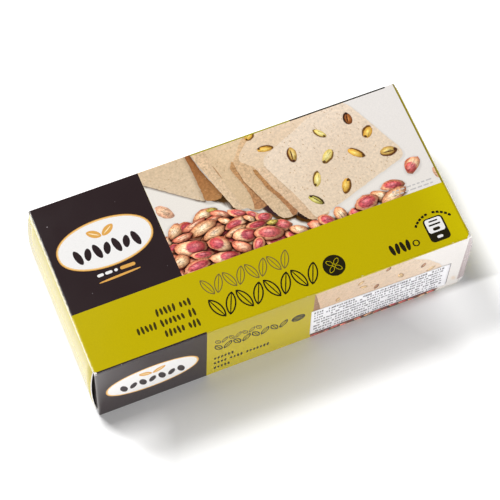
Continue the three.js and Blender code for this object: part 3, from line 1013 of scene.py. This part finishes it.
# %% [markdown]
# ## Cut and fold the panels
# Now each page is cut and laid on the carton. The grid lines of the folded shape go into the
# triangulation with the outlines, so the creases stay round under the print. Every page also gets
# the points that its neighbours have on their common crease, and those are merged at the end.

# %% Cut a page into triangles
SNAP = 1e-4  # mm: a point this near the page's edge lies exactly on it
CUT_NEAR = 1e-5  # mm: outlines this near each other meet
MERGE_NEAR, FACE_LEAST = 2e-7, 1e-7  # m: points this near are one, and a shorter edge goes


def owners_in_reach(page, owners, middle):
    """The shapes over a triangle, without any whose own box doesn't reach its middle."""
    def reaches(low_u, high_u, low_v, high_v):
        return low_u < middle[0] < high_u and low_v < middle[1] < high_v

    return [k for k in owners if k < len(page.shapes) and reaches(*page.boxes[k])]


def cut_page(page, us, vs, sheet=(), edge_points=()):
    """Points (u, v), triangles and the shapes over each triangle. Triangles face outwards."""
    points, faces = [], []

    def snapped(n, limit):
        return 0.0 if n < SNAP else limit if n > limit - SNAP else n

    def add(loop):
        first = len(points)
        points.extend(Vector((snapped(u, page.wide), snapped(page.high - v, page.high))) for u, v in loop)
        return list(range(first, len(points)))

    lines = [[(u, vs[0]), (u, vs[-1])] for u in us] + [[(us[0], v), (us[-1], v)] for v in vs]
    edges = [tuple(add(line)) for line in lines]
    for outline, *_ in page.shapes:
        loop = add(outline)
        area = sum(points[loop[i - 1]].cross(points[loop[i]]) for i in range(len(loop)))
        faces.append(loop if area > 0 else loop[::-1])
    if sheet:
        faces.append(add(sheet)[::-1])
    add(page.seeds)
    add(edge_points)
    found, _, triangles, _, _, owners = delaunay_2d_cdt(points, edges, faces, 0, CUT_NEAR, True)
    flat = [(p.x, page.high - p.y) for p in found]
    kept = [(t, o) for t, o in zip(triangles, owners) if 0 in o and (not sheet or len(faces) - 1 in o)]
    middles = [[sum(flat[k][i] for k in t) / 3 for i in (0, 1)] for t, _ in kept]
    return flat, [t for t, _ in kept], [owners_in_reach(page, o, m) for (_, o), m in zip(kept, middles)]


class Skin:
    """Gathers points in metres, faces, and the ink, grain and wear of every corner."""

    def __init__(self):
        self.points, self.faces, self.inks, self.grains, self.wears = [], [], [], [], []

    def add(self, points, faces, inks, grains, wears):
        first = len(self.points)
        self.points += [origin + p * MM for p in points]
        self.faces += [[first + k for k in face] for face in faces]
        self.inks += inks
        self.grains += grains
        self.wears += wears

    def mesh(self, name):
        """One closed mesh, with neighbours' shared points merged."""
        mesh = bpy.data.meshes.new(name)
        mesh.from_pydata([tuple(p) for p in self.points], [], self.faces)
        colour = mesh.color_attributes.new("ink", "FLOAT_COLOR", "CORNER")
        colour.data.foreach_set("color", [n for c in self.inks for n in (*c, 1.0)])
        for title, values in (("grain", self.grains), ("wear", self.wears)):
            mesh.attributes.new(title, "FLOAT", "CORNER").data.foreach_set("value", values)
        work = bmesh.new()
        work.from_mesh(mesh)
        bmesh.ops.remove_doubles(work, verts=work.verts, dist=MERGE_NEAR)
        bmesh.ops.dissolve_degenerate(work, edges=work.edges, dist=FACE_LEAST)
        bmesh.ops.triangulate(work, faces=[f for f in work.faces if len(f.verts) > 3])
        open_edges = sum(1 for e in work.edges if len(e.link_faces) != 2)
        work.to_mesh(mesh)
        work.free()
        mesh.shade_smooth()
        print(name, "has", len(mesh.polygons), "triangles and", open_edges, "open edges")
        return mesh


def corner_inks(page, flat, triangles, owners):
    """The ink and grain of every corner of every triangle."""
    cache, inks, grains = {}, [], []
    for triangle, over in zip(triangles, owners):
        for k in triangle:
            key = (k, tuple(over))
            if key not in cache:
                cache[key] = page.ink_at(over, *flat[k])
            inks.append(cache[key][0])
            grains.append(cache[key][1])
    return inks, grains

# %% [markdown]
# How worn a spot is depends on how near it is to a crease: the distance to the nearest edge of its
# page. Each panel then moves its points out by its own swell or bulge.

# %% Fold the six panels
WEAR_REACH = 1.1  # mm from the crease
MOVES = {
    "top": lambda x, y, z: Vector((0, 0, swell(TOP_SWELL, x, HALF_L, y, HALF_W))),
    "rear": lambda x, y, z: Vector((0, swell(BACK_SWELL, x, HALF_L, z - HEIGHT / 2, HEIGHT / 2), 0)),
    "right_end": lambda x, y, z: Vector((right_bulge(y, z), 0, 0)),
}

xs = stations(0, LENGTH, 10)  # rows of points about 10, 8 and 4 mm apart
ys = stations(0, WIDTH, 8, (BULGE_SIDE, BULGE_SIDE * 0.5, WIDTH - BULGE_SIDE, WIDTH - BULGE_SIDE * 0.5))
zs = stations(0, HEIGHT, 4, (BULGE_FOOT, BULGE_FOOT * 0.5))
vs = [HEIGHT - z for z in reversed(zs)]
grids = {"top": (xs, ys), "base": (xs, ys), "front": (xs, vs), "rear": (xs, vs),
         "left_end": (ys, vs), "right_end": (ys, vs)}


def page_point(page, place):
    """Where a point of the sharp-edged box lies on a page, or None when it isn't on it."""
    corner = Vector(page.place(0, 0))
    along, down = Vector(page.place(1, 0)) - corner, Vector(page.place(0, 1)) - corner
    step = Vector(place) - corner
    u, v = step.dot(along), step.dot(down)
    off = (step - along * u - down * v).length
    return (u, v) if off < EDGE else None


def wear_at(page, u, v):
    """1 at a worn crease and 0 away from it. The top's back and right creases aren't worn."""
    gaps = [u, page.high - v] if page.name == "top" else [u, v, page.wide - u, page.high - v]
    if page.name == "rear":
        gaps = [u, page.wide - u, page.high - v]
    return max(0, 1 - min(gaps) / WEAR_REACH)


shared = [p for page in pages for p in page.edge_points()]
body = Skin()
for page in pages:
    near = [q for q in (page_point(page, p) for p in shared) if q]
    flat, triangles, owners = cut_page(page, *grids[page.name], edge_points=near)
    inks, grains = corner_inks(page, flat, triangles, owners)
    wears = [wear_at(page, *flat[k]) for triangle in triangles for k in triangle]
    move = MOVES.get(page.name, lambda x, y, z: Vector())
    spots = [page.place(u, v) for u, v in flat]
    body.add([creased(*s) + move(*s) for s in spots], triangles, inks, grains, wears)
    print(page.name, "cut into", len(triangles), "triangles")

# %% [markdown]
# ## The outer flaps
# At each end the outer flap hangs from the top panel and is glued down over the dust flaps. It is a
# sheet with a thickness, so it is built as one: an outer skin, an inner skin and a rim of bare board
# between them. The left flap bows away from the dust flaps and leaves a slit at its edges. The
# right one lies flat on the bulge. Both start inside the round of the top crease.

# %% Hang the outer flaps
FLAP_CORNER, FLAP_ARC = 3.0, 5  # mm, and the steps round a corner
FLAP_COLUMNS = 14
FLAP_WEAR, BARE_GRAIN = 0.8, 0.2
PRESSED = 0.12  # how far the right flap sinks into the dust flaps' face


def flap(page, margin, outer, inner):
    """A closed sheet with the page's print outside, and bare board inside and on its rim."""
    low, high, foot = margin, page.wide - margin, HEIGHT - FLAP_FOOT
    arc = [math.pi / 2 * i / FLAP_ARC for i in range(FLAP_ARC + 1)]
    sheet = [(low, 0), (high, 0)]
    sheet += [(high - FLAP_CORNER * (1 - math.cos(t)), foot - FLAP_CORNER * (1 - math.sin(t))) for t in arc]
    sheet += [(low + FLAP_CORNER * (1 - math.sin(t)), foot - FLAP_CORNER * (1 - math.cos(t))) for t in arc]
    us = [low + (high - low) * i / FLAP_COLUMNS for i in range(FLAP_COLUMNS + 1)]
    vs = [v for v in grids["left_end"][1] if v < foot] + [foot]
    flat, triangles, owners = cut_page(page, us, vs, sheet=sheet)
    inks, grains = corner_inks(page, flat, triangles, owners)
    spots = [page.place(u, v) for u, v in flat]
    count = len(flat)
    points = [outer(*s) for s in spots] + [inner(*s) for s in spots]
    edges = {(t[i - 1], t[i]) for t in triangles for i in range(3)}
    rim = [(a, b) for t in triangles for a, b in zip((t[-1], *t), t) if (b, a) not in edges]
    faces = triangles + [[k + count for k in reversed(t)] for t in triangles]
    faces += [[b, a, a + count, b + count] for a, b in rim]
    bare = sum(len(f) for f in faces[len(triangles):])
    edge_wear = {k for pair in rim for k in pair if flat[k][1] > 1}
    wears = [FLAP_WEAR if k in edge_wear else 0.0 for t in triangles for k in t] + [0.0] * bare
    used = sorted({k for f in faces for k in f})
    place = {k: i for i, k in enumerate(used)}
    body.add([points[k] for k in used], [[place[k] for k in f] for f in faces],
             inks + [BARE_BOARD] * bare, grains + [BARE_GRAIN] * bare, wears)


def end_point(side, lift):
    """A rule that moves a point of an end outwards by what the lift gives at its (y, z)."""
    return lambda x, y, z: creased(x, y, z) + Vector((side * lift(y, z), 0, 0))


left_page = Page("left_flap", WIDTH, HEIGHT, left_end.place, GREEN)
right_page = Page("right_flap", WIDTH, HEIGHT, right_end.place, GREEN)
left_page.paint(cracked(rect(0, 0, WIDTH, 0.9), 0.2, 91), CRACK)
flap(left_page, LEFT_MARGIN,
     end_point(-1, lambda y, z: left_lift(z)),
     end_point(-1, lambda y, z: left_lift(z) - BOARD))
flap(right_page, RIGHT_MARGIN,
     end_point(1, lambda y, z: right_bulge(y, z) + BOARD * shoulder(HEIGHT - z, FLAP_SET)),
     end_point(1, lambda y, z: right_bulge(y, z) - PRESSED))

carton = in_scene("printed_carton", body.mesh("printed_carton"))

# %% [markdown]
# ## Varnished board
# A material is a tree of nodes, and its nodes are made by a few helpers. They save us writing each
# link by hand: an input that is given another node's output is linked, and any other is set.

# %% Helpers for materials
class Nodes:
    """Makes the nodes of a tree, and links or sets their inputs."""

    def __init__(self, tree):
        self.tree = tree

    def feed(self, socket, value):
        """Links a socket to another node's output, or sets it to a plain value."""
        if isinstance(value, bpy.types.NodeSocket):
            self.tree.links.new(value, socket)
        else:
            socket.default_value = value

    def add(self, kind, settings=None, **inputs):
        """A node with its settings. Inputs go by their names, with _ for a space."""
        made = self.tree.nodes.new(kind)
        for key, value in (settings or {}).items():
            setattr(made, key, value)
        for key, value in inputs.items():
            self.feed(made.inputs[key.replace("_", " ")], value)
        return made

    def maths(self, operation, a, b):
        """One Math node on two values."""
        made = self.add("ShaderNodeMath", {"operation": operation})
        for socket, value in zip(made.inputs, (a, b)):
            self.feed(socket, value)
        return made.outputs[0]


class Surface(Nodes):
    """A new material with a Principled shader."""

    def __init__(self, name):
        self.material = bpy.data.materials.new(name)
        self.material.use_nodes = True
        super().__init__(self.material.node_tree)
        self.shader = self.tree.nodes["Principled BSDF"]
        self.place = self.add("ShaderNodeTexCoord").outputs["Object"]

    def shade(self, **inputs):
        """Links or sets the shader's own inputs."""
        for key, value in inputs.items():
            self.feed(self.shader.inputs[key.replace("_", " ")], value)

    def attribute(self, name, output="Fac"):
        """What the mesh's attribute says at a point."""
        return self.add("ShaderNodeAttribute", {"attribute_name": name}).outputs[output]

    def remap(self, value, low, high, to_low, to_high):
        """A value's range turned into another."""
        return self.add("ShaderNodeMapRange", {"clamp": True}, Value=value, From_Min=low, From_Max=high,
                        To_Min=to_low, To_Max=to_high).outputs["Result"]

    def noise(self, scale, detail, rough=0.5):
        """Noise with features of about 1/scale metres."""
        return self.add("ShaderNodeTexNoise", Vector=self.place, Scale=scale, Detail=detail,
                        Roughness=rough).outputs["Fac"]

    def blend(self, kind, factor, a, b):
        """One Mix node on two colours."""
        made = self.add("ShaderNodeMix", {"data_type": "RGBA", "blend_type": kind})
        for k, value in ((0, factor), (6, a), (7, b)):  # sockets share names, so they go by number
            self.feed(made.inputs[k], value)
        return made.outputs[2]

    def bump(self, height, strength, distance):
        """Relief that a height draws on the surface without moving it."""
        self.shade(Normal=self.add("ShaderNodeBump", Height=height, Strength=strength,
                                   Distance=distance).outputs["Normal"])


print("helpers: add, maths, shade, attribute, remap, noise, blend, bump")

# %% [markdown]
# The material reads the inks from the mesh and adds what ink and varnish do. A fine noise breaks up
# every flat colour. The grain attribute turns up a coarser noise where the print shows crumbly halva
# or a nut's skin. Near the creases, a noise with a hard edge lets bare white board show through. The
# varnish is a smooth, clear surface over the ink: it is dim where you look straight at it and
# bright at a slant, which is Fresnel's law, and the Principled shader does that by itself.

# %% Varnished printed board
VARNISH_IOR = 1.45
RUB_ROUGHNESS = 0.4  # what rubbed board adds to the varnish's roughness
FIBRE_SHARE = 0.12  # of the paper's fibres in the relief, next to the waves

board = Surface("varnished_board")
wear = board.attribute("wear")
mottle = board.remap(board.noise(2600, 3), 0.3, 0.7, 0.965, 1.035)
crumb = board.remap(board.noise(1000, 4, 0.7), 0.34, 0.66, 0.83, 1.13)
patches = board.remap(board.noise(360, 3), 0.3, 0.7, 0.955, 1.045)
coarse = board.maths("SUBTRACT", board.maths("MULTIPLY", crumb, patches), 1.0)
grainy = board.maths("ADD", board.maths("MULTIPLY", board.attribute("grain"), coarse), mottle)
grey = board.add("ShaderNodeCombineColor", Red=grainy, Green=grainy, Blue=grainy).outputs[0]
tinted = board.blend("MULTIPLY", 1.0, board.attribute("ink", "Color"), grey)

rub = board.maths("MULTIPLY", wear, board.remap(board.noise(420, 4, 0.7), 0.5, 0.75, 0.0, 1.0))
rubbed = board.remap(rub, 0.42, 0.75, 0.0, 0.8)
smear = board.remap(board.noise(45, 3), 0.3, 0.7, 0.11, 0.16)
board.shade(Base_Color=board.blend("MIX", rubbed, tinted, (*BARE_BOARD, 1)), IOR=VARNISH_IOR,
            Roughness=board.maths("ADD", smear, board.maths("MULTIPLY", rubbed, RUB_ROUGHNESS)))
fibre = board.maths("MULTIPLY", board.noise(1800, 2), FIBRE_SHARE)
board.bump(board.maths("ADD", fibre, board.noise(60, 2)), 0.35, 0.0002)

carton.data.materials.append(board.material)
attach(carton, "root")
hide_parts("carton")
print("board material has", len(board.tree.nodes), "nodes")

# %% [markdown]
# ## The pasted slip
# The slip is thin white paper, pasted by hand a little askew. It is a sheet between its four corners
# on the front panel, cut into a grid so that it can follow the panel with faint waves and lift a
# touch at its right edge, where the paste ends. A grid of points on its face and one on its back,
# joined by a rim, make it a closed sheet.

# %% The slip's sheet
SLIP_CORNERS = [(86.4, 3.9), (143.9, 3.7), (143.9, 22.5), (86.1, 25.3)]  # from the left, up from the base
SLIP_THICKNESS = 0.15
SLIP_COLUMNS, SLIP_ROWS = 60, 24
SLIP_WAVE = 0.02
LIFT_START, LIFT_REACH, EDGE_LIFT = 0.94, 0.06, 0.12  # where the right edge lifts, and its height, mm
PASTE = 0.05  # how far the slip's back sinks into the board, so that no gap shows


def on_slip(s, t, lift):
    """A point of the slip: s from left to right, t from foot to top, lifted off the panel (mm)."""
    a, b, c, d = (Vector(p) for p in SLIP_CORNERS)
    spot = (a * (1 - s) + b * s) * (1 - t) + (d * (1 - s) + c * s) * t
    return origin + Vector((spot.x - HALF_L, -HALF_W - lift, spot.y)) * MM


def slip_lift(s, t):
    """The slip's faint waves, and its right edge standing up a little."""
    waves = SLIP_WAVE * math.sin(9 * s + 4 * t) + SLIP_WAVE * math.sin(17 * t - 5 * s)
    return waves + EDGE_LIFT * max(0, s - LIFT_START) / LIFT_REACH


def sheet_mesh(name, columns, rows, outside, inside):
    """A closed sheet from a function for its face and one for its back."""
    points, faces = [], []
    for side in (outside, inside):
        points += [side(i / columns, j / rows) for j in range(rows + 1) for i in range(columns + 1)]
    count = (rows + 1) * (columns + 1)

    def at(i, j, back_side=0):
        return back_side * count + j * (columns + 1) + i

    for j in range(rows):
        for i in range(columns):
            faces.append((at(i, j), at(i + 1, j), at(i + 1, j + 1), at(i, j + 1)))
            faces.append((at(i, j + 1, 1), at(i + 1, j + 1, 1), at(i + 1, j, 1), at(i, j, 1)))
    ring = [(i, 0) for i in range(columns)] + [(columns, j) for j in range(rows)]
    ring += [(columns - i, rows) for i in range(columns)] + [(0, rows - j) for j in range(rows)]
    for k, here in enumerate(ring):
        before = ring[k - 1]
        faces.append((at(*here), at(*before), at(*before, 1), at(*here, 1)))
    mesh = bpy.data.meshes.new(name)
    mesh.from_pydata([tuple(p) for p in points], [], faces)
    return mesh


slip = in_scene("pasted_slip", sheet_mesh(
    "pasted_slip", SLIP_COLUMNS, SLIP_ROWS,
    lambda s, t: on_slip(s, t, SLIP_THICKNESS + slip_lift(s, t)),
    lambda s, t: on_slip(s, t, max(slip_lift(s, t), 0) * 0.5 - PASTE)))
slip.data.shade_smooth()
print("slip is", round(slip.dimensions.x / MM, 1), "mm long")

# %% [markdown]
# Paper is matt, and cloudy when you look closely: its pulp lies thicker in some places. One noise
# runs between two whites that are nearly the same, and a finer one gives it a little tooth.

# %% Paper
PAPER_DULL, PAPER_BRIGHT = (*ink(238, 237, 240), 1), (*ink(247, 246, 249), 1)

paper = Surface("slip_paper")
pulp = paper.remap(paper.noise(700, 4, 0.6), 0.3, 0.7, 0, 1)
paper.shade(Base_Color=paper.blend("MIX", pulp, PAPER_DULL, PAPER_BRIGHT),
            Roughness=paper.remap(pulp, 0, 1, 0.5, 0.62))
paper.bump(paper.noise(1400, 3), 0.25, 0.00006)
slip.data.materials.append(paper.material)
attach(slip, "root")
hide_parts("paper_slip")
print("paper material has", len(paper.tree.nodes), "nodes")

# %% [markdown]
# ## Print on the slip
# The slip's fine print repeats, so Geometry Nodes make it: a grid of points, one column step for
# each short dash and one row for each line. Random width and a random gap make the rows look like
# print, and the first row is bolder. The tree has named inputs for its sizes, and ends in Realize
# Instances and Set Material, because only real mesh is exported.

# %% Grow the dashes with Geometry Nodes
LINES, DASHES, DASH_SEED = 8, 54, 4
LINE_LENGTH, LINE_SPACING, DASH_HEIGHT, DASH_THICKNESS = 53.0, 2.42, 1.15, 0.06  # mm
DASH_JITTER = (0.2 * MM, 0.12 * MM, 0)
DASH_SHARE = 0.86  # of the places in a row that have a dash
BOLD_FROM, BOLDER = 3.0, 0.35  # a row is bold this many rows above the middle, and by this much


def dash_tree(material):
    """The tree that grows rows of dashes on a flat sheet, and its inputs' sockets by name."""
    nodes = Nodes(bpy.data.node_groups.new("slip_lines", "GeometryNodeTree"))
    add, maths, sockets = nodes.add, nodes.maths, {}
    for name, kind, value in (("Lines", "Int", LINES), ("Dashes", "Int", DASHES),
                              ("Length", "Float", LINE_LENGTH * MM),
                              ("Spacing", "Float", LINE_SPACING * MM),
                              ("Dash height", "Float", DASH_HEIGHT * MM), ("Seed", "Int", DASH_SEED)):
        socket = nodes.tree.interface.new_socket(name, in_out="INPUT", socket_type="NodeSocket" + kind)
        socket.default_value = value
        sockets[name] = socket.identifier
    nodes.tree.interface.new_socket("Geometry", in_out="OUTPUT", socket_type="NodeSocketGeometry")
    given = add("NodeGroupInput").outputs

    def chance(kind, output, **inputs):
        """A random value for each dash."""
        return add("FunctionNodeRandomValue", {"data_type": kind}, **inputs).outputs[output]

    depth = maths("MULTIPLY", given["Spacing"], maths("SUBTRACT", given["Lines"], 1.0))
    grid = add("GeometryNodeMeshGrid", Size_X=given["Length"], Size_Y=depth,
               Vertices_X=given["Dashes"], Vertices_Y=given["Lines"])
    moved = add("GeometryNodeSetPosition", Geometry=grid.outputs["Mesh"],
                Offset=chance("FLOAT_VECTOR", 0, Min=tuple(-n for n in DASH_JITTER), Max=DASH_JITTER))

    pitch = maths("DIVIDE", given["Length"], given["Dashes"])
    width = maths("MULTIPLY", chance("FLOAT", 1, Min=0.45, Max=1.0, Seed=given["Seed"]), pitch)
    tall = maths("MULTIPLY", chance("FLOAT", 1, Min=0.75, Max=1.2), given["Dash height"])
    place = add("ShaderNodeSeparateXYZ", Vector=add("GeometryNodeInputPosition").outputs[0])
    first = maths("GREATER_THAN", place.outputs["Y"], maths("MULTIPLY", given["Spacing"], BOLD_FROM))
    bold = maths("ADD", maths("MULTIPLY", first, BOLDER), 1.0)
    size = add("ShaderNodeCombineXYZ", X=width, Y=maths("MULTIPLY", tall, bold), Z=DASH_THICKNESS * MM)

    spread = add("GeometryNodeInstanceOnPoints", Points=moved.outputs["Geometry"],
                 Selection=chance("BOOLEAN", 3, Probability=DASH_SHARE),
                 Instance=add("GeometryNodeMeshCube", Size=(1, 1, 1)).outputs["Mesh"],
                 Scale=size.outputs[0])
    real = add("GeometryNodeRealizeInstances", Geometry=spread.outputs[0])
    finish = add("GeometryNodeSetMaterial", Geometry=real.outputs[0], Material=material)
    add("NodeGroupOutput", Geometry=finish.outputs[0])
    return nodes.tree, sockets


print_ink = Surface("slip_ink")
soaked = print_ink.remap(print_ink.noise(2400, 2), 0.35, 0.65, 0, 1)
print_ink.shade(Roughness=0.6, Base_Color=print_ink.blend(
    "MIX", soaked, (*ink(70, 68, 74), 1), (*ink(150, 148, 154), 1)))

grower = in_scene("slip_lines_grower", bpy.data.meshes.new("empty"))
modifier = grower.modifiers.new("lines", "NODES")
modifier.node_group, sockets = dash_tree(print_ink.material)
modifier[sockets["Dashes"]] = DASHES
modifier[sockets["Seed"]] = DASH_SEED
evaluated = grower.evaluated_get(bpy.context.evaluated_depsgraph_get())
dashes = bpy.data.meshes.new_from_object(evaluated)
grower.modifiers.clear()
bpy.data.objects.remove(grower)
print("grown:", len(dashes.vertices), "points")

# %% [markdown]
# The grid was flat. Its points now go onto the slip by the slip's own rule, so each dash lies on the
# paper with the paper's waves, half sunk into it.

# %% Lay the dashes on the slip
PRINT_WIDE, PRINT_HIGH = 57.5, 20.4  # mm of the slip that s and t run over
PRINT_LEFT, PRINT_LOW = 0.012, 0.02  # how far the print lies off the slip's middle
PROUD, SUNK = 0.012, 0.05  # mm: a dash's face over the paper, and its back under it

for vertex in dashes.vertices:
    x, y, z = vertex.co / MM
    s, t = 0.5 + x / PRINT_WIDE - PRINT_LEFT, 0.5 + y / PRINT_HIGH - PRINT_LOW
    vertex.co = on_slip(s, t, SLIP_THICKNESS + slip_lift(s, t) + (PROUD if z > 0 else -SUNK))
lines = in_scene("slip_lines", dashes)
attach(lines, "root")
print("the slip has", len(dashes.polygons) // 6, "dashes")

# %% [markdown]
# ## Studio
# The carton lies on a sheet that is lit from below, like a light table for products. Varnish at a
# slant mirrors the sheet, which washes out the front and the ends with a pale haze. The sheet is dark
# in a strip round the carton, so that the foot of the print keeps its colour, and it is brighter
# further away, beside the left flap and near the slip. The main light is a large soft panel behind
# and above. It stays out of the direction that the top panel mirrors to the camera, so the dark field
# stays dark. A weaker panel lights the front.

# %% Floor and lights
FLOOR_REACH = 6  # m
FLOOR_WHITE, FLOOR_ROUGHNESS = (0.9, 0.9, 0.9, 1), 0.9
LEAST_GLOW, FLAP_GLOW = 0.06, 0.4
WORLD_LIGHT = 0.08

floor_mesh = bpy.data.meshes.new("studio_floor")
floor_mesh.from_pydata([(x, y, 0) for x, y in rect(-FLOOR_REACH, -FLOOR_REACH, FLOOR_REACH, FLOOR_REACH)],
                       [], [(0, 1, 2, 3)])
floor = in_scene("studio_floor", floor_mesh)
sheet = Surface("studio_sheet")
spot = sheet.add("ShaderNodeSeparateXYZ", Vector=sheet.place).outputs


def glow(axis, low, high, to_low, to_high):
    """Light of the sheet that runs from one value to another between two places on an axis (m)."""
    return sheet.remap(spot[axis], low, high, to_low, to_high)


def both(a, b):
    """Light only where both lights are."""
    return sheet.maths("MULTIPLY", a, b)


def most(first, *others):
    """The largest of some values."""
    for other in others:
        first = sheet.maths("MAXIMUM", first, other)
    return first


in_front, behind = glow("Y", -0.075, -0.04, 0.4, 0.0), glow("Y", 0.037, 0.06, 0.0, 0.45)
to_right, to_left = glow("X", 0.079, 0.1, 0.0, 0.45), glow("X", -0.11, -0.078, 0.36, 0.0)
corner = both(glow("X", -0.075, -0.045, 0.75, 0), glow("Y", -0.05, -0.04, 1, 0))
near_slip = both(glow("X", 0.045, 0.07, 0, 0.4), glow("Y", -0.039, -0.036, 1, 0))
flap_strip = both(glow("X", -0.1, -0.09, 0.4, 1), glow("X", -0.088, -0.076, 1, 0))
flap_length = both(glow("Y", -0.07, -0.045, 0, 1), glow("Y", 0.06, 0.09, 1, 0))
beside_flap = both(both(flap_strip, flap_length), FLAP_GLOW)
lit = sheet.maths("ADD", most(in_front, behind, to_right, to_left, corner, near_slip),
                  sheet.maths("ADD", beside_flap, LEAST_GLOW))
sheet.shade(Base_Color=FLOOR_WHITE, Roughness=FLOOR_ROUGHNESS, Specular_IOR_Level=0.0,
            Emission_Color=(1, 1, 1, 1), Emission_Strength=lit)
floor_mesh.materials.append(sheet.material)


def soft_light(name, direction, distance, size, power):
    """A square panel of light that faces the carton from the given direction."""
    data = bpy.data.lights.new(name, "AREA")
    data.shape, data.size, data.energy = "SQUARE", size, power
    way = Vector(direction).normalized()
    turn = way.to_track_quat("Z", "Y").to_matrix().to_4x4()
    in_scene(name, data).matrix_world = Matrix.Translation(way * distance) @ turn


soft_light("key", (-0.25, 0.52, 0.81), 1.7, 0.5, 28.5)
soft_light("front", (-0.16, -0.92, 0.36), 1.5, 0.8, 12.7)

world = bpy.data.worlds.new("studio")
world.use_nodes = True
world.node_tree.nodes["Background"].inputs["Color"].default_value = (1, 1, 1, 1)
world.node_tree.nodes["Background"].inputs["Strength"].default_value = WORLD_LIGHT
bpy.context.scene.world = world
bpy.context.scene.view_settings.view_transform = "Standard"
print("the sheet's material has", len(sheet.tree.nodes), "nodes")
